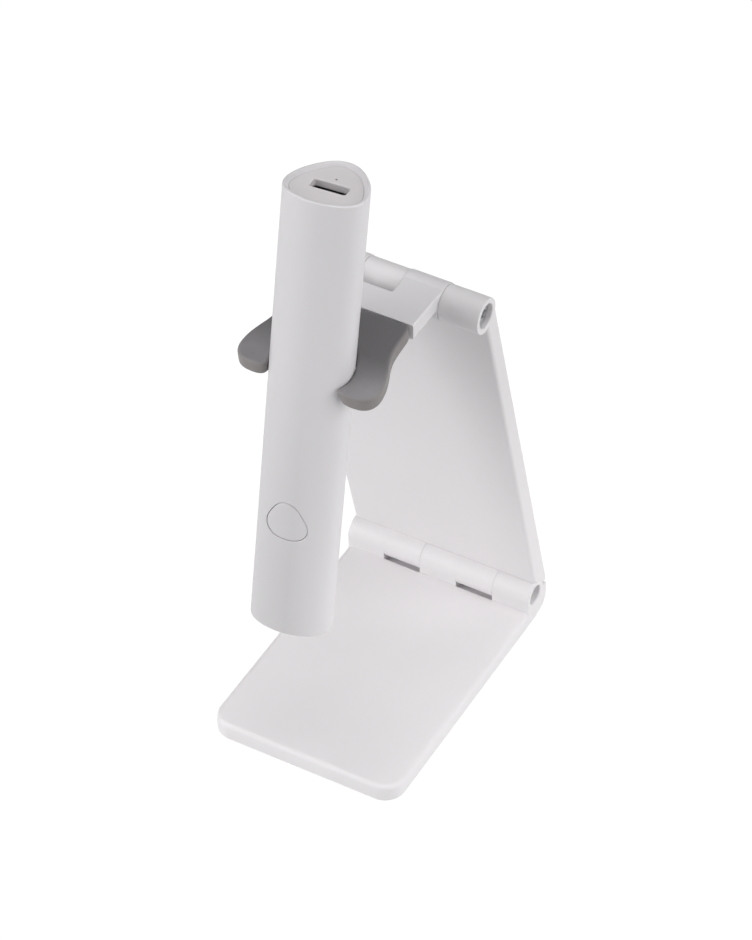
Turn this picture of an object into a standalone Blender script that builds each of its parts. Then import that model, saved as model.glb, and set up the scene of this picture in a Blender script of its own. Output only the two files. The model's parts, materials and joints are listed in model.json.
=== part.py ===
"""Cordless UV LED nail lamp wand in a soft claw on a hinged folding stand.

Three hinged members make the stand: a flat base, an upright plate and a short
arm.  The arm carries a soft claw, and the claw grips a wand of rounded
triangular section that holds the battery, the boards and the LED head.

Lengths are in millimetres and are turned into metres when a mesh is made.
+Z is up, the wand is at the front (-Y) and the hinges run along X.  The origin
lies on the middle plane, 48.4 mm behind the base's front edge, on the face that
the stand rests on.  Each member is built in the frame of its own empty.
"""

import math

import bmesh
import bpy
from mathutils import Matrix, Vector

MM = 0.001
FIT = 0.3  # gap kept between neighbouring pieces
WIDTH = 61.0  # of the base and the upright
HALF = WIDTH / 2

# Small screws, in the base and in the claw
SHANK_R = 0.65
SCREW_HOLE_R = 0.95
SIDES = (("left", -1), ("right", 1))

# Hinges: axes are (y, z), radii are across the hinge axis
KNUCKLE = WIDTH / 5  # five knuckles of this length make up each hinge
KNUCKLE_GAP = 0.15  # taken off each knuckle end that faces another
OUTER_KNUCKLES = (0, 2, 4)  # places counted from the left end
INNER_KNUCKLES = (1, 3)
RELIEF_OVERRUN = 1.3  # relief cuts run this far past the sides
LOWER_AXIS = (38.5, 10.3)
UPPER_AXIS = (1.99, 146.26)
LOWER_Y, LOWER_Z = LOWER_AXIS
UPPER_Y, UPPER_Z = UPPER_AXIS
LOWER_R = 4.7
LOWER_BORE_R = 3.1
UPPER_BORE_R = 1.75
ARM_KNUCKLE_R = 5.5

# Line of the two hinge axes
RUN = LOWER_Y - UPPER_Y
RISE = UPPER_Z - LOWER_Z
LEAN = math.atan2(RUN, RISE)  # forward of vertical, about 15 degrees
UPRIGHT_LEN = math.hypot(RUN, RISE)

# Arm and claw
ARM_LEN = 18.3
ARM_Z = (0.35, 5.25)  # bottom and top, above the upper axis
CLAW_GAP = 0.2  # between the arm's front face and the claw
CLAW_SLOPE = math.radians(8.6)  # down towards the front

# Wand
WAND_TOP = (0.0, -28.3, 201.2)  # centre of the section at the top end
WAND_TILT = math.radians(9.04)  # top leans back
WAND_TURN = math.radians(5.5)  # turned in the claw about its own axis
WAND_BOTTOM = -137.6  # in the wand's frame, whose origin is at its top


# ================================================================ helpers
def clear_scene():
    for obj in list(bpy.data.objects):
        bpy.data.objects.remove(obj, do_unlink=True)


def material(name, colour, roughness, metallic=0.0, alpha=1.0):
    mat = bpy.data.materials.new(name)
    mat.use_nodes = True
    shader = mat.node_tree.nodes["Principled BSDF"]
    shader.inputs["Base Color"].default_value = (*colour, 1.0)
    shader.inputs["Roughness"].default_value = roughness
    shader.inputs["Metallic"].default_value = metallic
    shader.inputs["Alpha"].default_value = alpha
    mat.diffuse_color = (*colour, alpha)
    return mat


def frame(name, location, rotation):
    """An empty that holds the frame of one member, given in world coordinates."""
    empty = bpy.data.objects.new(name, None)
    bpy.context.scene.collection.objects.link(empty)
    empty.matrix_world = Matrix.Translation(Vector(location) * MM) @ rotation.to_4x4()
    return empty


def new_object(name, shape, parent):
    """Turns a bmesh into a linked object."""
    mesh = bpy.data.meshes.new(name)
    shape.to_mesh(mesh)
    shape.free()
    obj = bpy.data.objects.new(name, mesh)
    bpy.context.scene.collection.objects.link(obj)
    obj.parent = parent
    return obj


def piece(name, shape, mat, parent, smooth=True):
    obj = new_object(name, shape, parent)
    obj.data.materials.append(mat)
    if smooth:
        obj.data.shade_smooth()
        obj.data.set_sharp_from_angle(angle=math.radians(35))
    return obj


def boolean(target, operation, label, shape):
    """Adds a Boolean against a hidden helper that shares the target's frame."""
    helper = new_object(label, shape, target.parent)
    helper.hide_render = True
    helper.display_type = "WIRE"
    step = target.modifiers.new(label, "BOOLEAN")
    step.operation = operation
    step.solver = "EXACT"
    step.object = helper


def cut(target, label, shape):
    boolean(target, "DIFFERENCE", label, shape)


def add(target, label, shape):
    boolean(target, "UNION", label, shape)


# ---------------------------------------------------------------- outlines
def span(half, middle=0.0):
    """The two ends of a length centred on middle."""
    return (middle - half, middle + half)


def circle(radius, count, centre=(0.0, 0.0)):
    angles = [2 * math.pi * i / count for i in range(count)]
    return [
        (centre[0] + radius * math.cos(a), centre[1] + radius * math.sin(a)) for a in angles
    ]


def rounded(x, y, radii, steps=5):
    """A rectangle with its own corner radii: low-low, high-low, high-high, low-high."""
    corners = (
        (x[0], y[0], 1, 1),
        (x[1], y[0], -1, 1),
        (x[1], y[1], -1, -1),
        (x[0], y[1], 1, -1),
    )
    points = []
    for k, (corner_x, corner_y, inward_x, inward_y) in enumerate(corners):
        r = radii[k]
        if r <= 0:
            points.append((corner_x, corner_y))
            continue
        start = math.pi + k * math.pi / 2
        for i in range(steps + 1):
            a = start + math.pi / 2 * i / steps
            points.append((
                corner_x + inward_x * r + r * math.cos(a),
                corner_y + inward_y * r + r * math.sin(a),
            ))
    return points


def eased(ends, ease):
    """Stations (place, inset) from end to end, with both end edges chamfered by ease."""
    start, end = ends
    if ease <= 0:
        return [(start, 0), (end, 0)]
    return [(start, ease), (start + ease, 0), (end - ease, 0), (end, ease)]


# ---------------------------------------------------------------- solids
def loft(rings, ring_closed=False):
    """A closed mesh through rings of equal count. ring_closed joins the last to the first."""
    bm = bmesh.new()
    loops = [[bm.verts.new(Vector(p) * MM) for p in ring] for ring in rings]
    pairs = list(zip(loops, loops[1:]))
    if ring_closed:
        pairs.append((loops[-1], loops[0]))
    else:
        bm.faces.new(loops[0])
        bm.faces.new(loops[-1])
    for a, b in pairs:
        for i in range(len(a)):
            j = (i + 1) % len(a)
            bm.faces.new((a[i], a[j], b[j], b[i]))
    bmesh.ops.recalc_face_normals(bm, faces=bm.faces)
    return bm


def joined(shapes):
    """Several closed meshes as one."""
    out = bmesh.new()
    for bm in shapes:
        part = bpy.data.meshes.new("part")
        bm.to_mesh(part)
        bm.free()
        out.from_mesh(part)
        bpy.data.meshes.remove(part)
    return out


def ring_on(axis, place, outline):
    """A flat outline set square to an axis; its columns are the other two axes in order."""
    index = "xyz".index(axis)
    return [(*p[:index], place, *p[index:]) for p in outline]


def prism(axis, outline, ends):
    return loft([ring_on(axis, place, outline) for place in ends])


def rod(axis, radius, ends, centre=(0.0, 0.0), count=32, ease=0.0):
    stations = eased(ends, ease)
    return loft([ring_on(axis, at, circle(radius - less, count, centre)) for at, less in stations])


def rods(places, radius, ends, count):
    """Upright rods at several (x, y) places."""
    return joined(rod("z", radius, ends, place, count) for place in places)


def turned(axis, profile, centre=(0.0, 0.0), count=32):
    """A ring-shaped solid: profile is a closed loop of (radius, place along the axis)."""
    rings = [ring_on(axis, place, circle(radius, count, centre)) for radius, place in profile]
    return loft(rings, ring_closed=True)


def slab(x, y, z, radii=(0, 0, 0, 0), ease=0.0):
    """A rounded rectangle between two heights; x, y and z are (low, high)."""
    rings = []
    for height, less in eased(z, ease):
        corner_radii = [max(r - less, 0.01) if r > 0 else 0 for r in radii]
        outline = rounded((x[0] + less, x[1] - less), (y[0] + less, y[1] - less), corner_radii)
        rings.append(ring_on("z", height, outline))
    return loft(rings)


def small_screw(name, head_r, head_z, shank_z, place, parent, shank_label):
    """An upright screw with a flat head."""
    screw = piece(name, rod("z", head_r, head_z, place, 16), STEEL, parent)
    add(screw, shank_label, rod("z", SHANK_R, shank_z, place, 12))


# ---------------------------------------------------------------- knuckles
def knuckle_span(place, gap=KNUCKLE_GAP, side_gap=0.0):
    """Ends of a knuckle along X; side_gap is used where it meets the stand's side."""
    start = -HALF + place * KNUCKLE
    end = start + KNUCKLE
    return (
        start + (side_gap if place == 0 else gap),
        end - (side_gap if place == 4 else gap),
    )


def knuckles(places, radius, axis, ease=0.5):
    return joined(rod("x", radius, knuckle_span(k), axis, ease=ease) for k in places)


def knuckle_relief(places, radius, axis):
    """Cutters that leave room for the other member's knuckles."""
    return joined(
        rod("x", radius, knuckle_span(k, -KNUCKLE_GAP, -RELIEF_OVERRUN), axis) for k in places
    )


# ---------------------------------------------------------------- wand section
def section_radius(angle):
    """Rounded triangle with its flat side at the front. angle is from the back."""
    return (
        11.44
        + 0.11 * math.cos(2 * angle)
        + 0.889 * math.cos(3 * angle)
        + 0.05 * math.cos(4 * angle)
        + 0.109 * math.cos(6 * angle)
    )


def section_point(angle):
    r = section_radius(angle)
    return Vector((r * math.sin(angle), r * math.cos(angle)))


def section(inset, z, count=48):
    """The wand's section at height z, moved inwards by inset along its normal."""
    step = 1e-4  # angle either side for the tangent
    ring = []
    for i in range(count):
        a = 2 * math.pi * i / count
        tangent = (section_point(a + step) - section_point(a - step)).normalized()
        inward = Vector((tangent.y, -tangent.x))
        p = section_point(a)
        if inward.dot(p) > 0:
            inward.negate()
        p = p + inward * inset
        ring.append((p.x, p.y, z))
    return ring


def wand_block(inset, ends, count=48):
    return loft([section(inset, z, count) for z in ends])


# ================================================================ materials and frames
clear_scene()

WHITE = material("white_plastic", colour=(0.80, 0.79, 0.80), roughness=0.42)
CAP_WHITE = material("cap_plastic", colour=(0.74, 0.73, 0.745), roughness=0.5)
CLAW_RUBBER = material("claw_rubber", colour=(0.19, 0.185, 0.19), roughness=0.7)
PAD_RUBBER = material("pad_rubber", colour=(0.07, 0.07, 0.075), roughness=0.85)
STEEL = material("steel", colour=(0.62, 0.62, 0.63), roughness=0.3, metallic=1.0)
PLATED = material("plated_shell", colour=(0.7, 0.7, 0.71), roughness=0.25, metallic=1.0)
BOARD_GREEN = material("circuit_board", colour=(0.03, 0.16, 0.08), roughness=0.5)
DARK_PLASTIC = material("dark_plastic", colour=(0.03, 0.03, 0.032), roughness=0.55)
CELL_WRAP = material("cell_wrap", colour=(0.05, 0.12, 0.38), roughness=0.35)
TRAY_PLASTIC = material("tray_plastic", colour=(0.55, 0.55, 0.56), roughness=0.6)
FOAM = material("foam", colour=(0.12, 0.12, 0.13), roughness=0.95)
RED_WIRE = material("red_wire", colour=(0.55, 0.03, 0.02), roughness=0.5)
BLACK_WIRE = material("black_wire", colour=(0.02, 0.02, 0.02), roughness=0.5)
ALUMINIUM = material("aluminium", colour=(0.75, 0.75, 0.76), roughness=0.35, metallic=1.0)
MIRROR = material("reflector", colour=(0.85, 0.85, 0.87), roughness=0.12, metallic=1.0)
CLEAR = material("clear_window", colour=(0.85, 0.88, 0.95), roughness=0.05, alpha=0.35)
EMITTER = material("emitter", colour=(0.75, 0.7, 0.35), roughness=0.2)

LEVEL = Matrix.Identity(3)
BASE_FRAME = frame("base_frame", (0, 0, 0), LEVEL)
UPRIGHT_FRAME = frame("upright_frame", (0, *LOWER_AXIS), Matrix.Rotation(LEAN, 3, "X"))
ARM_FRAME = frame("arm_frame", (0, *UPPER_AXIS), LEVEL)
CLAW_FRAME = frame(
    "claw_frame",
    (0, UPPER_Y - ARM_LEN - CLAW_GAP, UPPER_Z + ARM_Z[1]),
    Matrix.Rotation(CLAW_SLOPE, 3, "X"),
)
WAND_FRAME = frame(
    "wand_frame",
    WAND_TOP,
    Matrix.Rotation(-WAND_TILT, 3, "X") @ Matrix.Rotation(WAND_TURN, 3, "Z"),
)

# ================================================================ base
BASE_FRONT = -48.4
BASE_BACK = LOWER_Y + 1.3
BASE_T = 6.0
BASE_CORNER = 6.5
BASE_UNDERSIDE = 0.3  # the rubber pad stands this far below the base
KNUCKLE_WALL = 34.0  # flat front of the base's knuckles, where they rise from the plate
SLOT_FLOOR = 3.0  # height of the floor left under the upright's knuckles
THROUGH = span(HALF + 2)  # X ends of a cut right through the stand's width

# Heel, as (y, z): the round behind the knuckles, then the lip above it
HEEL_FLAT_END = 39.9
HEEL_ROUND = (5.7, 5.3)
HEEL_LIP = ((45.6, 9.2), (45.45, 9.8), (45.05, 10.15), (42.5, 10.2))
HEEL_FRONT_TOP = 8.0

POCKET_X, POCKET_Y, POCKET_TOP = (-27.4, 27.4), (-45.2, 29.5), 4.3
POCKET_CORNERS = (5.5, 5.5, 2, 2)
COVER_TOP = 2.4
PAD_X, PAD_Y, PAD_CORNER = (-24.0, 24.0), (-41.5, 26.0), 3.0
SCREW_X = 21.0
SCREW_ROWS = (("front", -24.0), ("rear", 9.0))  # y of each row
BASE_SCREWS = [(side * SCREW_X, y) for _, side in SIDES for _, y in SCREW_ROWS]


def heel(place):
    """The plate carries on under a knuckle and turns up behind it in a full round."""
    low = BASE_UNDERSIDE
    deep, high = HEEL_ROUND
    profile = [(KNUCKLE_WALL, low), (HEEL_FLAT_END, low)]
    for i in range(1, 9):
        a = math.pi / 2 * i / 8
        profile.append((HEEL_FLAT_END + deep * math.sin(a), low + high - high * math.cos(a)))
    profile += HEEL_LIP
    profile += [LOWER_AXIS, (LOWER_Y - LOWER_R, LOWER_Z), (KNUCKLE_WALL, HEEL_FRONT_TOP)]
    return prism("x", profile, knuckle_span(place))


def build_base_plate():
    shape = slab(
        x=span(HALF),
        y=(BASE_FRONT, BASE_BACK),
        z=(BASE_UNDERSIDE, BASE_UNDERSIDE + BASE_T),
        radii=(BASE_CORNER, BASE_CORNER, 0, 0),
        ease=1.2,
    )
    plate = piece("base_plate", shape, WHITE, BASE_FRAME)
    slots = [
        slab(knuckle_span(k, -KNUCKLE_GAP), (KNUCKLE_WALL, LOWER_Y + 9), (SLOT_FLOOR, 20))
        for k in INNER_KNUCKLES
    ]
    cut(plate, "cut_knuckle_slots", joined(slots))
    add(plate, "add_base_knuckles", knuckles(OUTER_KNUCKLES, LOWER_R, LOWER_AXIS))
    add(plate, "add_heels", joined(heel(k) for k in OUTER_KNUCKLES))
    cut(plate, "cut_lower_bore", rod("x", LOWER_BORE_R, THROUGH, LOWER_AXIS, 24))
    cut(plate, "cut_base_pocket", slab(POCKET_X, POCKET_Y, (-1, POCKET_TOP), POCKET_CORNERS))
    add(plate, "add_screw_bosses", rods(BASE_SCREWS, 2.6, (COVER_TOP + FIT, 4.9), 16))
    cut(plate, "cut_screw_pilots", rods(BASE_SCREWS, SCREW_HOLE_R, (2.0, 5.2), 12))


def build_bottom_cover():
    shape = slab(
        x=(POCKET_X[0] + FIT, POCKET_X[1] - FIT),
        y=(POCKET_Y[0] + FIT, POCKET_Y[1] - FIT),
        z=(BASE_UNDERSIDE, COVER_TOP),
        radii=[r - FIT for r in POCKET_CORNERS],
    )
    cover = piece("base_bottom_cover", shape, WHITE, BASE_FRAME)
    recess = slab(
        x=(PAD_X[0] - FIT, PAD_X[1] + FIT),
        y=(PAD_Y[0] - FIT, PAD_Y[1] + FIT),
        z=(0, 1.3),
        radii=(PAD_CORNER + FIT,) * 4,
    )
    cut(cover, "cut_pad_recess", recess)
    cut(cover, "cut_screw_head_recesses", rods(BASE_SCREWS, 2.15, (1.0, 1.95), 16))
    cut(cover, "cut_cover_screw_holes", rods(BASE_SCREWS, SCREW_HOLE_R, (1.5, 3.0), 12))


def build_ballast():
    shape = slab((-25, 25), (-42, 27), (COVER_TOP + FIT, POCKET_TOP - FIT), (3, 3, 1.5, 1.5))
    ballast = piece("base_ballast", shape, STEEL, BASE_FRAME)
    cut(ballast, "cut_ballast_holes", rods(BASE_SCREWS, 3.3, (1.0, 5.0), 16))


def build_base_screws():
    for row, y in SCREW_ROWS:
        for side, sign in SIDES:
            small_screw(
                f"base_screw_{row}_{side}",
                head_r=1.85,
                head_z=(1.35, 1.85),
                shank_z=(1.6, 4.8),
                place=(sign * SCREW_X, y),
                parent=BASE_FRAME,
                shank_label=f"add_shank_{row}_{side}",
            )


def build_pad():
    shape = slab(PAD_X, PAD_Y, (0, 1.0), (PAD_CORNER,) * 4, ease=0.25)
    piece("base_pad", shape, PAD_RUBBER, BASE_FRAME)


def build_lower_pin():
    shape = rod("x", 2.8, span(26.5), LOWER_AXIS, 24, ease=0.3)
    piece("lower_hinge_pin", shape, STEEL, BASE_FRAME)


# ================================================================ upright
# Stations of the plate: z, front face, back face; faces are measured back from the axes' line.
# The foot reaches just past the lower axis, close over the heel.
UPRIGHT_STATIONS = ((-0.2, 0.8, 7.3), (UPRIGHT_LEN - 1.0, -0.2, 5.3))
FOOT_AXIS = (0, 0)  # the hinge axes (y, z) in the upright's frame
HEAD_AXIS = (0, UPRIGHT_LEN)
UPPER_R = 5.26
COUNTERBORE_R = 3.6
COUNTERBORE_X = 25.6  # floors of the two counterbores, either side of the middle


def build_upright_plate():
    rings = []
    for z, front, back in UPRIGHT_STATIONS:
        rings.append(ring_on("z", z, rounded(span(HALF), (front, back), (1.1, 1.1, 1.2, 1.2), 3)))
    plate = piece("upright_plate", loft(rings), WHITE, UPRIGHT_FRAME)
    relief = knuckle_relief(OUTER_KNUCKLES, LOWER_R + 0.25, FOOT_AXIS)
    cut(plate, "cut_base_knuckle_relief", relief)
    relief = knuckle_relief(INNER_KNUCKLES, ARM_KNUCKLE_R + 0.5, HEAD_AXIS)
    cut(plate, "cut_arm_knuckle_relief", relief)
    add(plate, "add_lower_knuckles", knuckles(INNER_KNUCKLES, LOWER_R, FOOT_AXIS))
    add(plate, "add_upper_knuckles", knuckles(OUTER_KNUCKLES, UPPER_R, HEAD_AXIS))
    bores = (
        rod("x", LOWER_BORE_R, THROUGH, FOOT_AXIS, 24),
        rod("x", UPPER_BORE_R, THROUGH, HEAD_AXIS, 20),
    )
    cut(plate, "cut_bores", joined(bores))
    ends = ((COUNTERBORE_X, THROUGH[1]), (THROUGH[0], -COUNTERBORE_X))
    counterbores = joined(rod("x", COUNTERBORE_R, x, HEAD_AXIS, 28) for x in ends)
    cut(plate, "cut_counterbores", counterbores)


def build_hinge_screw():
    """Head at the right, with a cross slot; the shank runs through to the nut at the left."""
    head = (COUNTERBORE_X + 1.5, COUNTERBORE_X + 3.6)
    shank = (-COUNTERBORE_X - 3.0, COUNTERBORE_X + 2.0)
    slot = (COUNTERBORE_X + 2.6, COUNTERBORE_X + 5)
    half_long, half_wide = 1.9, 0.4
    shape = rod("x", 2.9, head, HEAD_AXIS, 24, ease=0.4)
    screw = piece("upper_hinge_screw", shape, STEEL, UPRIGHT_FRAME)
    add(screw, "add_hinge_shank", rod("x", 1.45, shank, HEAD_AXIS, 16))
    cut(screw, "cut_cross_slot_a", slab(slot, span(half_wide), span(half_long, UPRIGHT_LEN)))
    cut(screw, "cut_cross_slot_b", slab(slot, span(half_long), span(half_wide, UPRIGHT_LEN)))


def build_hinge_washer():
    inner_r, outer_r = 1.8, 3.1
    near, far = COUNTERBORE_X + 0.3, COUNTERBORE_X + 1.2
    profile = [(inner_r, near), (outer_r, near), (outer_r, far), (inner_r, far)]
    shape = turned("x", profile, HEAD_AXIS, 24)
    piece("upper_hinge_spring_washer", shape, STEEL, UPRIGHT_FRAME)


def build_hinge_nut():
    ends = (-COUNTERBORE_X - 2.7, -COUNTERBORE_X - 0.3)
    shape = rod("x", 3.15, ends, HEAD_AXIS, 6)
    nut = piece("upper_hinge_nut", shape, STEEL, UPRIGHT_FRAME, smooth=False)
    cut(nut, "cut_nut_bore", rod("x", UPPER_BORE_R, (-30, -20), HEAD_AXIS, 16))


# ================================================================ arm
ARM_HALF = 17.5
NOTCH_HALF, NOTCH_LEN = 6.4, 8.6  # between the arm's two knuckles
TONGUE_HALF, TONGUE_LEN, TONGUE_Z = 12.5, 5.2, (1.6, 3.3)
TONGUE_CORNERS = (1.5, 1.5, 0, 0)
CLAW_SCREW_X = 9.5
CLAW_SCREW_Y = -ARM_LEN - TONGUE_LEN / 2
CLAW_SCREWS = [(side * CLAW_SCREW_X, CLAW_SCREW_Y) for _, side in SIDES]


def build_arm():
    outline = rounded(span(ARM_HALF), ARM_Z, (0.7,) * 4, 3)
    arm = piece("arm_bracket", prism("y", outline, (-ARM_LEN, 0.0)), WHITE, ARM_FRAME)
    cut(arm, "cut_arm_notch", slab(span(NOTCH_HALF), (-NOTCH_LEN, 5), (-10, 12)))
    add(arm, "add_arm_knuckles", knuckles(INNER_KNUCKLES, ARM_KNUCKLE_R, (0, 0), ease=0.0))
    cut(arm, "cut_arm_bore", rod("x", UPPER_BORE_R, span(25), count=20))
    tongue_y = (-ARM_LEN - TONGUE_LEN, -ARM_LEN + 1.0)
    add(arm, "add_tongue", slab(span(TONGUE_HALF), tongue_y, TONGUE_Z, TONGUE_CORNERS))
    cut(arm, "cut_tongue_holes", rods(CLAW_SCREWS, SCREW_HOLE_R, (0, 6), 12))


# ================================================================ claw
CLAW_T = 4.7
CLAW_EASE = 0.8
GRIP_GAP = 0.15
# right half of the claw's outline: half width, distance in front of the arm
CLAW_STATIONS = (
    (17.5, 0.0), (17.6, 3.2), (17.55, 6.8), (17.75, 10.3), (18.5, 13.5),
    (19.6, 16.4), (20.7, 19.8), (21.2, 23.2), (20.9, 25.8), (19.8, 27.7),
    (17.9, 28.7), (15.4, 29.0), (12.8, 29.0), (10.8, 28.7),
)
CLAW_MIDDLE = Vector((0, 14))  # a point inside the outline, for telling outward from inward


def claw_outline(per_span=2):
    """A smooth curve through the right-hand stations, then its mirror image."""
    s = [Vector(p) for p in CLAW_STATIONS]
    s = [2 * s[0] - s[1]] + s + [2 * s[-1] - s[-2]]
    right = []
    for i in range(1, len(s) - 2):
        for k in range(per_span):
            t = k / per_span
            linear = (s[i + 1] - s[i - 1]) * t
            square = (2 * s[i - 1] - 5 * s[i] + 4 * s[i + 1] - s[i + 2]) * t * t
            cubic = (3 * s[i] - s[i - 1] - 3 * s[i + 1] + s[i + 2]) * t ** 3
            right.append(0.5 * (2 * s[i] + linear + square + cubic))
    right.append(s[-2])
    return right + [Vector((-p.x, p.y)) for p in reversed(right)]


def claw_ring(outline, z, less):
    """The outline at height z, drawn in by less on all sides but the arm's."""
    ring = []
    for i, p in enumerate(outline):
        tangent = (outline[(i + 1) % len(outline)] - outline[i - 1]).normalized()
        normal = Vector((tangent.y, -tangent.x))
        if normal.dot(p - CLAW_MIDDLE) < 0:
            normal.negate()
        q = p - normal * less
        if p.y < 0.01:
            q = Vector((math.copysign(abs(p.x) - less, p.x), 0.0))
        ring.append((q.x, -q.y, z))
    return ring


def build_claw():
    outline = claw_outline()
    rings = [claw_ring(outline, z, less) for z, less in eased((-CLAW_T, 0), CLAW_EASE)]
    claw = piece("holder_claw", loft(rings), CLAW_RUBBER, CLAW_FRAME)
    to_claw = CLAW_FRAME.matrix_world.inverted()

    def cut_from(source, label, shape):
        """Cuts a shape given in another member's frame."""
        shape.transform(to_claw @ source.matrix_world)
        cut(claw, label, shape)

    cut_from(WAND_FRAME, "cut_wand_seat", wand_block(-GRIP_GAP, (-90, -20)))
    beside_arm = slab(span(30), (-ARM_LEN - CLAW_GAP, 4), span(9))
    cut_from(ARM_FRAME, "trim_square_to_arm", beside_arm)
    socket = slab(
        x=span(TONGUE_HALF + FIT),
        y=(-ARM_LEN - TONGUE_LEN - FIT, -ARM_LEN + 2.0),
        z=(TONGUE_Z[0] - FIT, TONGUE_Z[1] + FIT),
        radii=TONGUE_CORNERS,
    )
    cut_from(ARM_FRAME, "cut_tongue_socket", socket)
    cut_from(ARM_FRAME, "cut_head_recesses", rods(CLAW_SCREWS, 1.8, (-6, 0.6), 16))
    screw_holes = rods(CLAW_SCREWS, SCREW_HOLE_R, (-1, 4.1), 12)
    cut_from(ARM_FRAME, "cut_claw_screw_holes", screw_holes)


def build_claw_screws():
    for side, sign in SIDES:
        small_screw(
            f"claw_screw_{side}",
            head_r=1.5,
            head_z=(-0.3, 0.35),
            shank_z=(0.1, 3.8),
            place=(sign * CLAW_SCREW_X, CLAW_SCREW_Y),
            parent=ARM_FRAME,
            shank_label=f"add_claw_shank_{side}",
        )


# ================================================================ wand casing and button
WAND_WALL = 1.5
CASING_EDGE = ((0.6, 0.0), (0.15, 0.15), (0.0, 0.6))  # inset, distance from the end
CAP_DEPTH = 1.0  # both end caps sit this far inside the casing
CAP_INSET = WAND_WALL + 0.2
BUTTON_X, BUTTON_Z = -0.6, -101.0
BUTTON_CENTRE = (BUTTON_X, BUTTON_Z)
BUTTON_R, BUTTON_TRI = 5.85, 0.55  # mean radius and how far the corners stand out
BUTTON_GAP = 0.3


def button_block(grow, ends, count=36):
    """A rounded triangle, point up, running along Y."""
    outline = []
    for i in range(count):
        a = 2 * math.pi * i / count
        r = BUTTON_R + grow + BUTTON_TRI * math.cos(3 * a)
        outline.append((BUTTON_X + r * math.sin(a), BUTTON_Z + r * math.cos(a)))
    return prism("y", outline, ends)


def build_casing():
    rings = [section(inset, -depth) for inset, depth in CASING_EDGE]
    rings += [section(inset, WAND_BOTTOM + depth) for inset, depth in reversed(CASING_EDGE)]
    rings += [section(WAND_WALL, WAND_BOTTOM), section(WAND_WALL, 0.0)]
    casing = piece("wand_casing", loft(rings, ring_closed=True), WHITE, WAND_FRAME)
    cut(casing, "cut_button_hole", button_block(BUTTON_GAP, (-14, -6.5)))


def build_button():
    button = piece("button_cap", button_block(0, (-13, -9.2)), WHITE, WAND_FRAME)
    front = wand_block(-0.05, span(12, BUTTON_Z))
    boolean(button, "INTERSECT", "keep_flush_with_front", front)
    plunger = rod("y", 1.6, (-8.9, -7.0), BUTTON_CENTRE, 20)
    piece("switch_plunger", plunger, DARK_PLASTIC, WAND_FRAME)


def end_cup(face, rim, wall, floor):
    """A cup in the casing's end: outer face, skirt to the rim, and the floor inside."""
    return loft([
        section(CAP_INSET, face),
        section(CAP_INSET, rim),
        section(CAP_INSET + wall, rim),
        section(CAP_INSET + wall, floor),
    ])


# ================================================================ charging end
PORT_W, PORT_H, PORT_R = 10.2, 4.0, 1.5
LIGHT_Y, LIGHT_R = 4.3, 0.5
SKIRT_END = -11.1
USB_HALF_W, USB_HALF_H, USB_WALL = 4.5, 1.62, 0.35
PORT_BOARD_T = 1.0


def build_top_cap():
    shape = end_cup(-CAP_DEPTH, SKIRT_END, wall=1.3, floor=-CAP_DEPTH - 2.0)
    cap = piece("top_end_cap", shape, CAP_WHITE, WAND_FRAME)
    cut(cap, "cut_port", slab(span(PORT_W / 2), span(PORT_H / 2), (-5, 2), (PORT_R,) * 4))
    cut(cap, "cut_light_hole", rod("z", LIGHT_R + 0.25, (-5, 2), (0, LIGHT_Y), 12))


def build_usb():
    shape = slab(span(USB_HALF_W), span(USB_HALF_H), (SKIRT_END, -3.3), (1.4,) * 4)
    shell = piece("usb_receptacle", shape, PLATED, WAND_FRAME)
    mouth = slab(
        x=span(USB_HALF_W - USB_WALL),
        y=span(USB_HALF_H - USB_WALL),
        z=(-10.6, -2),
        radii=(1.1,) * 4,
    )
    cut(shell, "cut_receptacle_mouth", mouth)
    tongue = slab(span(3.35), span(0.35), (-10.3, -4.4))
    piece("usb_contact_tongue", tongue, DARK_PLASTIC, WAND_FRAME)


def build_charge_light():
    pipe = rod("z", LIGHT_R, (-9.7, -1.25), (0, LIGHT_Y), 12)
    piece("charge_light_pipe", pipe, CLEAR, WAND_FRAME)
    led = slab(span(0.9), span(0.6, LIGHT_Y), (SKIRT_END, -10.0))
    piece("charge_led", led, EMITTER, WAND_FRAME)


def build_port_board():
    top = SKIRT_END - FIT
    board = wand_block(2.2, (top - PORT_BOARD_T, top), 32)
    piece("port_board", board, BOARD_GREEN, WAND_FRAME)


# ================================================================ battery
CELL_R, CELL_TOP, CELL_LEN = 7.0, -16.5, 50.0
CELL_BOTTOM = CELL_TOP - CELL_LEN
CELL_Y = 0.3
TRAY_IN, TRAY_OUT = CELL_R + 0.35, CELL_R + 1.2
LEAD_X, LEAD_Y, LEAD_R = 7.4, -3.4, 0.5
# z, distance outwards from LEAD_X
LEAD_PATH = (
    (-12.9, 0), (-14.5, 0.6), (-17.0, 1.0), (-40.0, 1.0),
    (-64.0, 1.0), (-67.0, 0.6), (-70.2, 0.0),
)


def build_cell():
    pad = rod("z", 6.0, (CELL_TOP + 0.4, -12.8), (0, CELL_Y), 20)
    piece("cell_foam_pad", pad, FOAM, WAND_FRAME)
    cell = rod("z", CELL_R, (CELL_BOTTOM, CELL_TOP), (0, CELL_Y), ease=0.5)
    piece("battery_cell", cell, CELL_WRAP, WAND_FRAME)


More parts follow.
